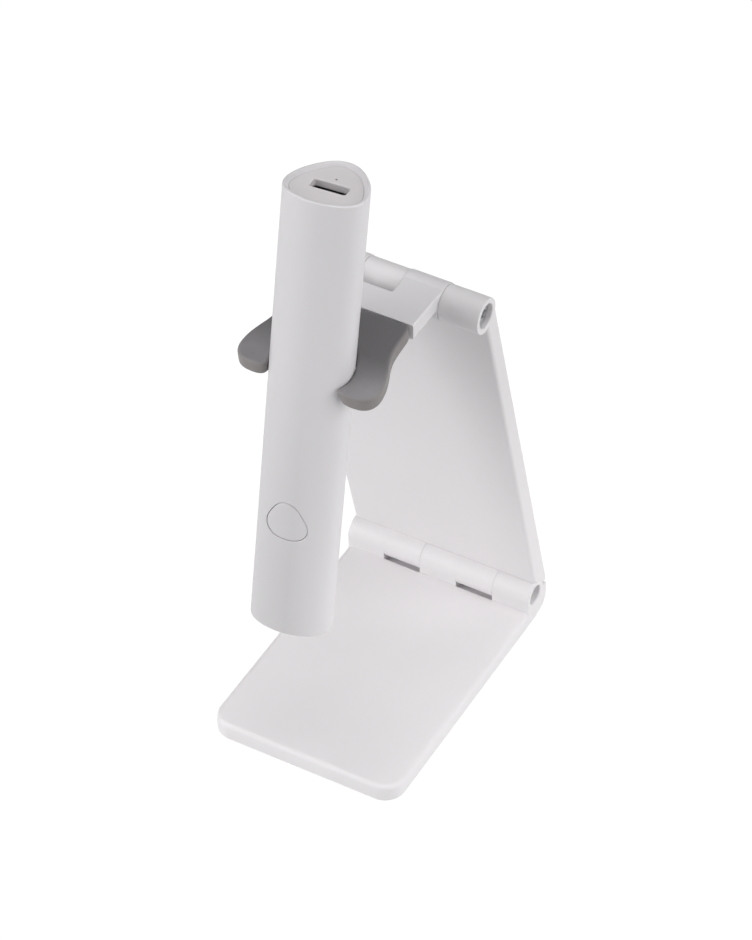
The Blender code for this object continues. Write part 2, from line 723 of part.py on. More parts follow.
def build_tray():
    """A trough round the back half of the cell, with a plate below the cell's lower end."""
    arc = [math.pi * (-0.02 + 1.04 * i / 20) for i in range(21)]
    outline = [(TRAY_OUT * math.cos(a), CELL_Y + TRAY_OUT * math.sin(a)) for a in arc]
    outline += [(TRAY_IN * math.cos(a), CELL_Y + TRAY_IN * math.sin(a)) for a in reversed(arc)]
    shape = prism("z", outline, (CELL_BOTTOM - 1.0, CELL_TOP - 1.0))
    tray = piece("battery_tray", shape, TRAY_PLASTIC, WAND_FRAME)
    end_plate = slab(span(6.5), (-3.0, 5.0), (CELL_BOTTOM - 2.0, CELL_BOTTOM - 0.4))
    add(tray, "add_tray_end", end_plate)


def wire(points, radius, count=8):
    """A round wire through points in an XZ plane, by rings square to the local direction."""
    path = [Vector(p) for p in points]
    rings = []
    for i, p in enumerate(path):
        before = path[max(i - 1, 0)]
        after = path[min(i + 1, len(path) - 1)]
        tangent = (after - before).normalized()
        side = tangent.cross(Vector((0, 1, 0))).normalized()
        other = tangent.cross(side).normalized()
        rings.append([p + side * u + other * v for u, v in circle(radius, count)])
    return loft(rings)


def build_leads():
    leads = (("cell_lead_red", 1, RED_WIRE), ("cell_lead_black", -1, BLACK_WIRE))
    for name, side, mat in leads:
        points = [(side * (LEAD_X + out), LEAD_Y, z) for z, out in LEAD_PATH]
        piece(name, wire(points, LEAD_R), mat, WAND_FRAME)


# ================================================================ driver board
BOARD_FRONT, BOARD_BACK = -4.6, -3.6
PARTS_Y = BOARD_BACK + FIT  # front of the parts behind the board


def build_driver():
    board = slab(span(6.5), (BOARD_FRONT, BOARD_BACK), (-114.0, -71.0))
    piece("driver_board", board, BOARD_GREEN, WAND_FRAME)
    coil = slab(span(2.4), (PARTS_Y, PARTS_Y + 2.6), (-84.0, -79.0))
    piece("driver_coil", coil, DARK_PLASTIC, WAND_FRAME)
    chip = slab(span(2.0), (PARTS_Y, PARTS_Y + 1.0), (-96.0, -91.0))
    piece("driver_chip", chip, DARK_PLASTIC, WAND_FRAME)


def build_switch():
    shape = slab(span(3.0, BUTTON_X), (-7.4, BOARD_FRONT - FIT), span(3.0, BUTTON_Z))
    switch = piece("tact_switch_body", shape, DARK_PLASTIC, WAND_FRAME)
    cut(switch, "cut_switch_well", rod("y", 1.9, (-9, -6.1), BUTTON_CENTRE, 20))


# ================================================================ LED head
SINK_SLOT_PITCH, SINK_SLOT_HALF = 3.0, 0.6
LED_TOP = -126.3
# radius, z
LED_DOME = ((1.3, -126.7), (1.3, -127.3), (1.0, -127.9), (0.5, -128.2))
REFLECTOR_END = -133.0
REFLECTOR = (
    (2.5, LED_TOP), (3.3, LED_TOP), (7.2, REFLECTOR_END), (6.6, REFLECTOR_END),
)
BEZEL_FACE = WAND_BOTTOM + CAP_DEPTH
HEAD_OPENING_R = 6.4


def build_heat_sink():
    shape = rod("z", 8.7, (-124.4, -117.5), ease=0.4)
    sink = piece("head_heat_sink", shape, ALUMINIUM, WAND_FRAME)
    slots = [
        slab(span(SINK_SLOT_HALF, i * SINK_SLOT_PITCH), span(12), (-121.8, -116.5))
        for i in range(-2, 3)
    ]
    cut(sink, "cut_fins", joined(slots))


def build_led():
    board = rod("z", 8.6, (-126.0, -124.8))
    piece("led_board", board, ALUMINIUM, WAND_FRAME)
    led = piece("uv_led", slab(span(1.5), span(1.5), (-127.1, LED_TOP)), EMITTER, WAND_FRAME)
    add(led, "add_dome", loft([ring_on("z", z, circle(radius, 16)) for radius, z in LED_DOME]))


def build_optics():
    piece("reflector_cup", turned("z", REFLECTOR), MIRROR, WAND_FRAME)
    window = rod("z", 7.3, (-134.7, REFLECTOR_END - FIT), ease=0.2)
    piece("lens_window", window, CLEAR, WAND_FRAME)


def build_bezel():
    shape = end_cup(BEZEL_FACE, -128.0, wall=1.1, floor=BEZEL_FACE + 1.6)
    bezel = piece("head_bezel", shape, CAP_WHITE, WAND_FRAME)
    cut(bezel, "cut_head_opening", rod("z", HEAD_OPENING_R, (BEZEL_FACE - 2, -130)))


# ================================================================ build
BUILDERS = (
    build_base_plate, build_bottom_cover, build_ballast, build_base_screws, build_pad,
    build_lower_pin, build_upright_plate, build_hinge_screw, build_hinge_washer,
    build_hinge_nut, build_arm, build_claw, build_claw_screws, build_casing, build_top_cap,
    build_usb, build_charge_light, build_port_board, build_cell, build_tray, build_driver,
    build_switch, build_leads, build_heat_sink, build_led, build_optics, build_bezel,
    build_button,
)
for build in BUILDERS:
    build()
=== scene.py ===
"""A cordless UV LED nail lamp: a white wand of rounded triangular section, held by a dark soft
claw on a white folding stand.

The base rests on the floor (+Z up) and reaches forwards to -Y. At its rear edge a hinge along X
carries the upright, and a second hinge at the upright's head carries the arm, which points
forwards to the claw. The wand hangs through the claw with its window at the lower end.

Shells are modelled in millimetres in the frame of the member they belong to, then put in place.
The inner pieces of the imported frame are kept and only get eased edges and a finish."""
import json
import math

import bmesh
import bpy
from mathutils import Matrix, Vector


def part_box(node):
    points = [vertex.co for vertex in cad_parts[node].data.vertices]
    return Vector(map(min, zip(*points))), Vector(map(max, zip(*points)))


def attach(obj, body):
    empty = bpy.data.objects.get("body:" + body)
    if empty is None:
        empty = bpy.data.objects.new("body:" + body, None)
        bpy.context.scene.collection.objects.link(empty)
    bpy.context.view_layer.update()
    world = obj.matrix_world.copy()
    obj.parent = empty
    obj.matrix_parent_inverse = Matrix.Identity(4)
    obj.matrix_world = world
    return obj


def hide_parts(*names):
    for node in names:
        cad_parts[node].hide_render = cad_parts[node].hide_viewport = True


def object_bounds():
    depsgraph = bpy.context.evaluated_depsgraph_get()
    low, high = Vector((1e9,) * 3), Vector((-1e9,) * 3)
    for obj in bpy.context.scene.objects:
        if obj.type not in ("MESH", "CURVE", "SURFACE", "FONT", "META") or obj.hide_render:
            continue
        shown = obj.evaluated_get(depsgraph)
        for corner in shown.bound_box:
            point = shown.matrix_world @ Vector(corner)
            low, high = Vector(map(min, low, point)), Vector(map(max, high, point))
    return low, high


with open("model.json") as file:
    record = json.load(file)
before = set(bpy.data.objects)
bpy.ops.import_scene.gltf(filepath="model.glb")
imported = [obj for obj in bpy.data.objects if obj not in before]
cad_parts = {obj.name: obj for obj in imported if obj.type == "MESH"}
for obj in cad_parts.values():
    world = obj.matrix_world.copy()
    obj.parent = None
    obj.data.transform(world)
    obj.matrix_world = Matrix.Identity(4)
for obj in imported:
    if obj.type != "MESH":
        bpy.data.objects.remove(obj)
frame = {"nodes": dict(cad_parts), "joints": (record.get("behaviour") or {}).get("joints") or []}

CAD_LO, CAD_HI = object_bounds()
MM = 0.001
JOINT = {joint["name"]: joint for joint in frame["joints"]}
NODES = frame["nodes"]


# ================================================================ frames of the members
def frame_matrix(x, y, z, origin):
    matrix = Matrix((x, y, z)).transposed().to_4x4()
    matrix.translation = Vector(origin)
    return matrix


def local_box(node, place):
    """The node's box in a member's own frame, in millimetres."""
    inverse = place.inverted()
    points = [inverse @ vertex.co for vertex in NODES[node].data.vertices]
    lo = Vector([min(p[i] for p in points) for i in range(3)]) / MM
    hi = Vector([max(p[i] for p in points) for i in range(3)]) / MM
    return lo, hi


def world_box(node):
    """The node's box in the world, in millimetres."""
    return [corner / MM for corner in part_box(node)]


lower = Vector(JOINT["lower_hinge"]["pos_m"])
upper = Vector(JOINT["upper_hinge"]["pos_m"])
along = (upper - lower).normalized()
X = Vector((1, 0, 0))
BASE = Matrix.Identity(4)
UPRIGHT = frame_matrix(X, along.cross(X), along, lower)  # z runs up the plate, y to its rear
ARM = Matrix.Translation(upper)

# The wand's frame: z up its length with 0 at the casing's upper end, y from its front inwards.
wand_z = Vector(JOINT["wand_slide"]["axis"]).normalized()
wand_y = Vector(JOINT["button_press"]["axis"]).normalized()
wand_x = wand_y.cross(wand_z).normalized()
wand_y = wand_z.cross(wand_x).normalized()
probe = frame_matrix(wand_x, wand_y, wand_z, (0, 0, 0))
lens_lo, lens_hi = local_box("lens_window", probe)
case_lo, case_hi = local_box("wand_casing", probe)
wand_top = Vector(((lens_lo.x + lens_hi.x) / 2, (lens_lo.y + lens_hi.y) / 2, case_hi.z))
WAND = frame_matrix(wand_x, wand_y, wand_z, probe @ (wand_top * MM))
WAND_LEN = case_hi.z - case_lo.z
PLACES = {"base": BASE, "upright": UPRIGHT, "arm": ARM, "wand": WAND, "button": WAND}

# ---------------------------------------------------------------- sizes several members share
base_lo, base_hi = world_box("base_plate")
arm_hi = local_box("arm_bracket", ARM)[1]
claw_lo, claw_hi = local_box("holder_claw", ARM)
HALF = base_hi.x  # half the width of base and upright
LOWER_Y, LOWER_Z = lower.y / MM, lower.z / MM
UPRIGHT_LEN = (upper - lower).length / MM
LOWER_AT = (LOWER_Y, LOWER_Z)  # the lower hinge's (y, z) in the base's frame
UPPER_AT = (0, UPRIGHT_LEN)  # the upper hinge's (y, z) in the upright's frame
KNUCKLE = 2 * HALF / 5
THREE, TWO = (0, 2, 4), (1, 3)  # which of a hinge's five knuckles a member has, from -X
LOWER_R, UPPER_R, ARM_KNUCKLE_R = 4.7, 5.26, arm_hi.y
LOWER_BORE_R, UPPER_BORE_R = 3.1, 1.75


# ================================================================ mesh helpers, in millimetres
def loft(rings, ring_closed=False):
    """A skin over rings of equal count, capped at both ends or closed on itself."""
    shape = bmesh.new()
    loops = [[shape.verts.new(Vector(p) * MM) for p in ring] for ring in rings]
    pairs = list(zip(loops, loops[1:]))
    if ring_closed:
        pairs.append((loops[-1], loops[0]))
    else:
        shape.faces.new(loops[0])
        shape.faces.new(loops[-1])
    for near, far in pairs:
        for i in range(len(near)):
            j = (i + 1) % len(near)
            shape.faces.new((near[i], near[j], far[j], far[i]))
    bmesh.ops.recalc_face_normals(shape, faces=shape.faces)
    return shape


def joined(*shapes):
    out = bmesh.new()
    for shape in shapes:
        part = bpy.data.meshes.new("part")
        shape.to_mesh(part)
        shape.free()
        out.from_mesh(part)
        bpy.data.meshes.remove(part)
    return out


def circle(radius, count, centre=(0.0, 0.0)):
    angles = [2 * math.pi * i / count for i in range(count)]
    return [(centre[0] + radius * math.cos(a), centre[1] + radius * math.sin(a)) for a in angles]


def easing(radius, steps=5):
    """(inset, depth) pairs of a quarter round, from the face inwards to the side."""
    angles = [math.pi / 2 * i / steps for i in range(steps + 1)]
    return [(radius * (1 - math.sin(a)), radius * (1 - math.cos(a))) for a in angles]


def eased(start, end, low, high, steps=5):
    """(position, inset) pairs from start to end, with quarter rounds of radius low and high."""
    stops = [(start + depth, inset) for inset, depth in easing(low, steps)] if low else [(start, 0)]
    if high:
        return stops + [(end - depth, inset) for inset, depth in reversed(easing(high, steps))]
    return stops + [(end, 0)]


def four(radii):
    return radii if isinstance(radii, tuple) else (radii,) * 4


def rounded(x0, x1, y0, y1, radii, steps=10):
    """A rounded rectangle; radii run from the corner (x0, y0) towards (x1, y0)."""
    corners = ((x0, y0, 1, 1), (x1, y0, -1, 1), (x1, y1, -1, -1), (x0, y1, 1, -1))
    points = []
    for k, ((x, y, to_x, to_y), r) in enumerate(zip(corners, four(radii))):
        if r <= 0:
            points.append((x, y))
            continue
        for i in range(steps + 1):
            a = math.pi + k * math.pi / 2 + math.pi / 2 * i / steps
            points.append((x + to_x * r + r * math.cos(a), y + to_y * r + r * math.sin(a)))
    return points


def turned(axis, profile, centre=(0.0, 0.0), count=96, closed=True):
    """A turned shape about axis 'x' or 'z'. profile lists (radius, distance along the axis)."""
    rings = []
    for radius, at in profile:
        points = circle(radius, count, centre)
        rings.append([(at, p, q) if axis == "x" else (p, q, at) for p, q in points])
    return loft(rings, ring_closed=closed)


def rod(axis, radius, start, end, centre=(0.0, 0.0), count=96, ease=0.0):
    """A cylinder with eased ends."""
    profile = [(radius - inset, at) for at, inset in eased(start, end, ease, ease)]
    return turned(axis, profile, centre, count, closed=False)


def pegs(centres, radius, z0, z1, count):
    """One upright rod at each centre."""
    return joined(*[rod("z", radius, z0, z1, centre, count) for centre in centres])


def slab(lo, hi, radii=0, low=0.0, high=0.0, steps=10, soft=5):
    """A box with corners of the given radii in plan and rounds low and high on its rims.
    steps and soft are the segments of a corner and of a rim."""
    rings = []
    for z, less in eased(lo[2], hi[2], low, high, soft):
        left = tuple(max(r - less, 0.02) if r > 0 else 0 for r in four(radii))
        plan = rounded(lo[0] + less, hi[0] - less, lo[1] + less, hi[1] - less, left, steps)
        rings.append([(x, y, z) for x, y in plan])
    return loft(rings)


def flared(outline, z_top, z_bottom, flare, steps=5):
    """A cutter that leaves a convex round on the rim of the hole. outline(grow) gives (x, y)."""
    stops = [(flare, z_top + 2)]
    stops += [(inset, z_top - depth) for inset, depth in easing(flare, steps)]
    stops += [(0, z_bottom)]
    return loft([[(x, y, z) for x, y in outline(grow)] for grow, z in stops])


def both_ends(profile, centre):
    """A closed turned shape about x at the +X end, and its mirror image at the other."""
    mirrored = [(radius, -x) for radius, x in reversed(profile)]
    return joined(turned("x", profile, centre), turned("x", mirrored, centre))


def knuckles(which, radius, centre, gap, soft=0.0, end_gap=0.0):
    """Hinge knuckles, each short of its share by gap, or by end_gap at the hinge's two ends."""
    rods = []
    for k in which:
        start = -HALF + k * KNUCKLE + (end_gap if k == 0 else gap)
        end = -HALF + (k + 1) * KNUCKLE - (end_gap if k == 4 else gap)
        rods.append(rod("x", radius, start, end, centre, 128, soft))
    return joined(*rods)


def raw(name, shape):
    mesh = bpy.data.meshes.new(name)
    shape.to_mesh(mesh)
    shape.free()
    obj = bpy.data.objects.new(name, mesh)
    bpy.context.scene.collection.objects.link(obj)
    return obj


def cut(shape):
    return "DIFFERENCE", shape


def fuse(shape):
    return "UNION", shape


def carved(name, shape, steps):
    """A new object from shape after exact Booleans, each a pair from cut() or fuse()."""
    obj = raw(name, shape)
    cutters = []
    for operation, other in steps:
        cutter = raw(name + "_tool", other)
        boolean = obj.modifiers.new(operation, "BOOLEAN")
        boolean.operation, boolean.solver, boolean.object = operation, "EXACT", cutter
        cutters.append(cutter)
    bpy.context.view_layer.update()
    depsgraph = bpy.context.evaluated_depsgraph_get()
    mesh = bpy.data.meshes.new_from_object(obj.evaluated_get(depsgraph), depsgraph=depsgraph)
    old = obj.data
    obj.modifiers.clear()
    obj.data = mesh
    mesh.name = name
    bpy.data.meshes.remove(old)
    for cutter in cutters:
        data = cutter.data
        bpy.data.objects.remove(cutter)
        bpy.data.meshes.remove(data)
    tidy = bmesh.new()
    tidy.from_mesh(mesh)
    bmesh.ops.remove_doubles(tidy, verts=tidy.verts, dist=2e-7)
    bmesh.ops.dissolve_degenerate(tidy, edges=tidy.edges, dist=2e-7)
    tidy.to_mesh(mesh)
    tidy.free()
    return obj


MATERIALS = {}  # by name, filled in the next section


def make(name, shape, *steps, body, material, replaces=None, place=None, sharp=32):
    """A piece carved in its member's frame, put in place, finished and registered.
    Edges over sharp degrees stay crisp. place overrides the body's own frame."""
    obj = carved(name, shape, steps)
    obj.data.transform(place or PLACES[body])
    obj.data.materials.clear()
    obj.data.materials.append(MATERIALS[material])
    obj.data.shade_smooth()
    obj.data.set_sharp_from_angle(angle=math.radians(sharp))
    shading = obj.modifiers.new("even_shading", "WEIGHTED_NORMAL")
    shading.mode, shading.weight, shading.keep_sharp = "FACE_AREA", 50, True
    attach(obj, body)
    if replaces:
        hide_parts(replaces)


# ================================================================ materials
def feed(tree, socket, value):
    """Links value if it is another node's socket, otherwise sets it."""
    if isinstance(value, bpy.types.NodeSocket):
        tree.links.new(value, socket)
    else:
        socket.default_value = value


def new_node(tree, kind, *values, **named):
    """values feed the inputs in order; lower-case names are properties, the others inputs."""
    node = tree.nodes.new(kind)
    for socket, value in zip(node.inputs, values):
        feed(tree, socket, value)
    for key, value in named.items():
        if key.islower():
            setattr(node, key, value)
        else:
            feed(tree, node.inputs[key], value)
    return node


def shade(colour, factor):
    return tuple(c * factor for c in colour)


class Surface:
    """A new Principled material, and the object-space textures that feed it."""

    def __init__(self, name):
        material = MATERIALS[name] = bpy.data.materials.new(name)
        material.use_nodes = True
        self.tree = material.node_tree
        self.shader = self.tree.nodes["Principled BSDF"]
        self.coord = self.add("ShaderNodeTexCoord").outputs["Object"]
        self.normal = None

    def add(self, kind, *values, **named):
        return new_node(self.tree, kind, *values, **named)

    def set(self, socket, value):
        feed(self.tree, self.shader.inputs[socket], value)

    def mapped(self, **values):
        return self.add("ShaderNodeMapping", Vector=self.coord, **values).outputs["Vector"]

    def noise(self, scale, detail, rough, stretch=None):
        source = self.mapped(Scale=stretch) if stretch else self.coord
        node = self.add(
            "ShaderNodeTexNoise", Vector=source, Scale=scale, Detail=detail, Roughness=rough
        )
        return node.outputs["Fac"]

    def remap(self, value, to=(0, 1), over=(0.3, 0.7)):
        """Maps the range over, clamped, onto the range to."""
        return self.add("ShaderNodeMapRange", value, *over, *to).outputs["Result"]

    def calc(self, operation, *values):
        return self.add("ShaderNodeMath", *values, operation=operation).outputs[0]

    def split(self, vector):
        return self.add("ShaderNodeSeparateXYZ", Vector=vector).outputs

    def mix(self, factor, first, second):
        """A colour mix; each colour is a socket or an RGB tuple."""
        node = self.add("ShaderNodeMix", factor, data_type="RGBA")
        for socket, value in ((node.inputs[6], first), (node.inputs[7], second)):
            feed(self.tree, socket, (*value, 1.0) if isinstance(value, tuple) else value)
        return node.outputs[2]

    def bump(self, height, strength, distance):
        """Adds a layer of relief, distance in metres, over those already there."""
        node = self.add("ShaderNodeBump", Height=height, Strength=strength, Distance=distance)
        if self.normal is not None:
            feed(self.tree, node.inputs["Normal"], self.normal)
        self.normal = node.outputs["Normal"]
        self.set("Normal", self.normal)


def moulded(name, colour, rough, grain, vary, subsurface=0.0, painted_height_shade=0.0, painted_wand_light=False):
    """Injection-moulded plastic: fine spark-eroded grain, faint flow variation in tone and gloss.
    vary is the swing in tone; the height setting adds painted shade that grows with height, the wand setting
    painted light and shade on the wand."""
    s = Surface(name)
    cloud = s.noise(scale=38, detail=3, rough=0.5)
    fine = s.noise(scale=2600, detail=2, rough=0.6)
    dust = s.noise(scale=700, detail=4, rough=0.65)
    tone = s.mix(s.remap(cloud, over=(0.35, 0.65)), shade(colour, 1 - vary), shade(colour, 1 + vary))
    specks = s.remap(fine, to=(0, 0.5), over=(0.4, 0.75))
    tone = s.mix(specks, tone, shade(colour, 1 - 1.6 * vary))
    if painted_height_shade:  # painted shade: paler at the foot, greyer at the head, as if light falls off with height
        height = s.split(s.coord)["Z"]
        tone = s.mix(s.remap(height, over=(0.008, 0.115)), tone, shade(colour, 1 - painted_height_shade))
    if painted_wand_light:  # painted light and shade: greyer at the lower end and -X flank, paler on the +X flank, most so low down
        place = s.split(s.coord)
        down = s.remap(place["Z"], to=(0.35, 1.0), over=(0.18, 0.08))
        flank = s.remap(place["X"], over=(0.0025, 0.0105))
        both = s.calc("MULTIPLY", down, flank)
        tone = s.mix(s.remap(place["Z"], over=(0.15, 0.09)), tone, shade(colour, 0.93))
        tone = s.mix(both, tone, shade(colour, 1.16))
        tone = s.mix(s.remap(place["X"], over=(-0.004, -0.0105)), tone, shade(colour, 0.945))
    s.set("Base Color", tone)
    s.set("Roughness", s.remap(dust, to=rough))
    if subsurface:
        s.set("Subsurface Weight", subsurface)
        s.set("Subsurface Radius", (1.0, 0.95, 0.95))
        s.set("Subsurface Scale", 0.0012)
    s.bump(fine, strength=grain, distance=0.00004)
    s.bump(dust, strength=grain * 0.6, distance=0.00006)


def metal(name, colour, rough, stretch, grain=0.12):
    """Turned or rolled metal: streaks in gloss and height, drawn out where stretch is small."""
    s = Surface(name)
    streak = s.noise(scale=900, detail=4, rough=0.7, stretch=stretch)
    patch = s.noise(scale=120, detail=3, rough=0.5)
    s.set("Base Color", s.mix(s.remap(patch), shade(colour, 0.93), colour))
    s.set("Metallic", 1.0)
    s.set("Roughness", s.remap(streak, to=rough))
    s.bump(streak, strength=grain, distance=0.00003)


def claw_material():
    """Dark soft-touch silicone: velvety sheen, fine grain, and faint painted light that makes the free ends
    paler.
    """
    colour, painted_wall_light_colour, dust_colour = (0.138, 0.133, 0.138), (0.235, 0.215, 0.21), (0.30, 0.295, 0.30)
    s = Surface("claw_rubber")
    cloud = s.noise(scale=90, detail=4, rough=0.6)
    fine = s.noise(scale=3000, detail=2, rough=0.6)
    dust = s.noise(scale=520, detail=5, rough=0.7)
    y_arm = (upper.y / MM + claw_hi.y) * MM
    y_tip = (upper.y / MM + claw_lo.y) * MM
    reach = y_arm - y_tip
    forward = s.split(s.coord)["Y"]
    # painted light: the free ends are painted paler than the face by the arm
    painted_tip_light = s.remap(forward, over=(y_arm - 0.50 * reach, y_arm - 0.85 * reach))
    tone = s.mix(painted_tip_light, colour, shade(colour, 1.85))
    tone = s.mix(s.remap(cloud, to=(0, 0.35)), tone, shade(colour, 0.85))
    # painted light: the walls and rounded rims are painted a little paler and warmer than the faces, by which
    # way they face
    normal = s.split(s.add("ShaderNodeNewGeometry").outputs["Normal"])
    level = s.calc("ABSOLUTE", normal["Z"])
    tone = s.mix(s.remap(level, to=(0.75, 0.0), over=(0.35, 0.97)), tone, painted_wall_light_colour)
    tone = s.mix(s.remap(dust, to=(0, 0.16), over=(0.55, 0.8)), tone, dust_colour)
    s.set("Base Color", tone)
    s.set("Roughness", s.remap(dust, to=(0.50, 0.62)))
    s.set("Sheen Weight", 0.22)
    s.set("Sheen Roughness", 0.35)
    s.bump(fine, strength=0.22, distance=0.00005)
    s.bump(dust, strength=0.10, distance=0.00008)


def pad_material():
    """Black anti-slip rubber with a fine moulded diamond texture."""
    s = Surface("pad_rubber")
    waves = []
    for turn in (45, -45):
        across = s.mapped(Rotation=(0, 0, math.radians(turn)))
        waves.append(s.add("ShaderNodeTexWave", Vector=across, Scale=130).outputs["Fac"])
    diamonds = s.calc("MAXIMUM", *waves)
    fine = s.noise(scale=1500, detail=3, rough=0.6)
    s.set("Base Color", s.mix(s.remap(fine), (0.022, 0.022, 0.024), (0.050, 0.050, 0.052)))
    s.set("Roughness", s.remap(fine, to=(0.72, 0.88)))
    s.bump(diamonds, strength=0.35, distance=0.00025)
    s.bump(fine, strength=0.25, distance=0.00006)


def board_material():
    """Green solder mask with paler tracks and scattered metal pads."""
    s = Surface("circuit_board")
    brick = s.add(
        "ShaderNodeTexBrick",
        Vector=s.mapped(Rotation=(math.radians(90), 0, 0)),
        Scale=260,
        Color1=(0.010, 0.105, 0.045, 1),
        Color2=(0.014, 0.135, 0.060, 1),
        Mortar=(0.045, 0.26, 0.11, 1),
        **{"Mortar Size": 0.07},
    )
    cells = s.add("ShaderNodeTexVoronoi", Vector=s.coord, Scale=420)
    pads = s.remap(cells.outputs["Distance"], to=(1, 0), over=(0.12, 0.16))
    s.set("Base Color", s.mix(pads, brick.outputs["Color"], (0.66, 0.62, 0.50)))
    s.set("Metallic", pads)
    fine = s.noise(scale=900, detail=3, rough=0.6)
    s.set("Roughness", s.remap(fine, to=(0.25, 0.38)))
    s.bump(brick.outputs["Fac"], strength=0.25, distance=0.00004)


def wrap_material():
    """Blue heat-shrink sleeve with fine lengthwise wrinkles."""
    s = Surface("cell_wrap")
    wrinkle = s.noise(scale=260, detail=5, rough=0.65, stretch=(3, 3, 0.35))
    cloud = s.noise(scale=60, detail=3, rough=0.5)
    s.set("Base Color", s.mix(s.remap(cloud), (0.028, 0.085, 0.30), (0.040, 0.115, 0.37)))
    s.set("Roughness", s.remap(cloud, to=(0.24, 0.34)))
    s.set("Coat Weight", 0.5)
    s.set("Coat Roughness", 0.15)
    s.bump(wrinkle, strength=0.25, distance=0.00015)


def foam_material():
    """Dark open-cell foam."""
    s = Surface("foam")
    cell = s.add("ShaderNodeTexVoronoi", Vector=s.coord, Scale=2200).outputs["Distance"]
    span = (0.1, 0.6)
    s.set("Base Color", s.mix(s.remap(cell, over=span), (0.035, 0.035, 0.04), (0.13, 0.13, 0.14)))
    s.set("Roughness", s.remap(cell, to=(0.88, 1.0), over=span))
    s.bump(cell, strength=0.7, distance=0.0003)


def clear_material():
    """Clear moulded optic with the faint haze of a moulded surface."""
    tint, rough = (0.93, 0.94, 0.97), 0.04
    s = Surface("clear_window")
    haze = s.noise(scale=700, detail=4, rough=0.6)
    s.set("Base Color", s.mix(s.remap(haze), tint, shade(tint, 0.97)))
    s.set("Roughness", s.remap(haze, to=(rough, rough * 1.7)))
    s.set("Transmission Weight", 1.0)
    s.set("IOR", 1.49)
    s.bump(haze, strength=0.03, distance=0.00002)


def emitter_material():
    """The yellowish glossy fill over an LED's die."""
    s = Surface("emitter")
    cloud = s.noise(scale=1500, detail=3, rough=0.5)
    s.set("Base Color", s.mix(s.remap(cloud), (0.74, 0.70, 0.36), (0.82, 0.78, 0.50)))
    s.set("Roughness", s.remap(cloud, to=(0.18, 0.28)))
    s.set("Coat Weight", 0.6)
    s.bump(cloud, strength=0.05, distance=0.00003)


GLOSSY, SATIN, WIRE = (0.34, 0.42), (0.40, 0.48), (0.35, 0.45)  # ranges of roughness
# painted shade: the stand's plastic is painted greyer higher up
moulded("white_plastic", (0.885, 0.865, 0.88), SATIN, grain=0.10, vary=0.012, subsurface=0.08, painted_height_shade=0.18)
# painted light and shade: the wand's plastic is painted paler on its +X flank, greyer low down and on its -X
# flank
moulded("wand_white_plastic", (0.675, 0.66, 0.675), GLOSSY, grain=0.08, vary=0.010, subsurface=0.08, painted_wand_light=True)
moulded("arm_white_plastic", (0.70, 0.685, 0.70), SATIN, grain=0.10, vary=0.012, subsurface=0.08)
moulded("cap_plastic", (0.68, 0.655, 0.67), rough=(0.50, 0.60), grain=0.18, vary=0.02)
moulded("dark_plastic", (0.022, 0.022, 0.024), rough=(0.40, 0.55), grain=0.15, vary=0.10)
moulded("tray_plastic", (0.52, 0.52, 0.53), rough=(0.45, 0.6), grain=0.12, vary=0.03)
moulded("red_wire", (0.50, 0.025, 0.018), WIRE, grain=0.05, vary=0.05)
moulded("black_wire", (0.018, 0.018, 0.018), WIRE, grain=0.05, vary=0.05)
metal("steel", (0.60, 0.60, 0.61), rough=(0.24, 0.38), stretch=(0.3, 6, 6))
metal("plated_shell", (0.70, 0.70, 0.72), rough=(0.14, 0.22), stretch=(6, 6, 0.4))
metal("aluminium", (0.78, 0.78, 0.79), rough=(0.28, 0.42), stretch=(6, 6, 6))
metal("reflector", (0.88, 0.88, 0.90), rough=(0.05, 0.09), stretch=(1, 1, 1), grain=0.02)
claw_material()
pad_material()
board_material()
wrap_material()
foam_material()
clear_material()
emitter_material()
metal("contact_gold", (0.86, 0.62, 0.28), rough=(0.15, 0.25), stretch=(1, 1, 1), grain=0.03)
moulded("led_ceramic", (0.82, 0.81, 0.78), WIRE, grain=0.05, vary=0.01)

# ================================================================ base
PAD_PROUD = base_lo.z  # the plate's underside
BASE_TOP = PAD_PROUD + 6.0
PLATE_R, RIM_LOW, RIM_HIGH = 6.5, 0.9, 1.5
LOWER_WALL, SLOT_FLOOR = 34.0, 4.6  # front wall and floor of the slots for the upright
HEEL_START, HEEL_RUN, HEEL_RISE, HEEL_TOP = 39.9, 5.7, 5.3, 10.3
HEEL_BACK = HEEL_START + HEEL_RUN
COVER_GAP, PAD_GAP = 0.3, 0.3
BASE_POST_R, BASE_HEAD_ROOM_R, THREAD_HOLE_R = 2.6, 2.15, 0.95


def slot_cutter(k):
    """Room for one upright knuckle, its rim in the plate's top eased."""
    x0, x1 = -HALF + k * KNUCKLE - 0.02, -HALF + (k + 1) * KNUCKLE + 0.02
    y0, y1 = LOWER_WALL, LOWER_Y + 9

    def outline(grow):
        return rounded(x0, x1, y0 - grow, y1 + grow, (0.3, 0.3, 0, 0), 6)

    return flared(outline, BASE_TOP, SLOT_FLOOR, 0.12)


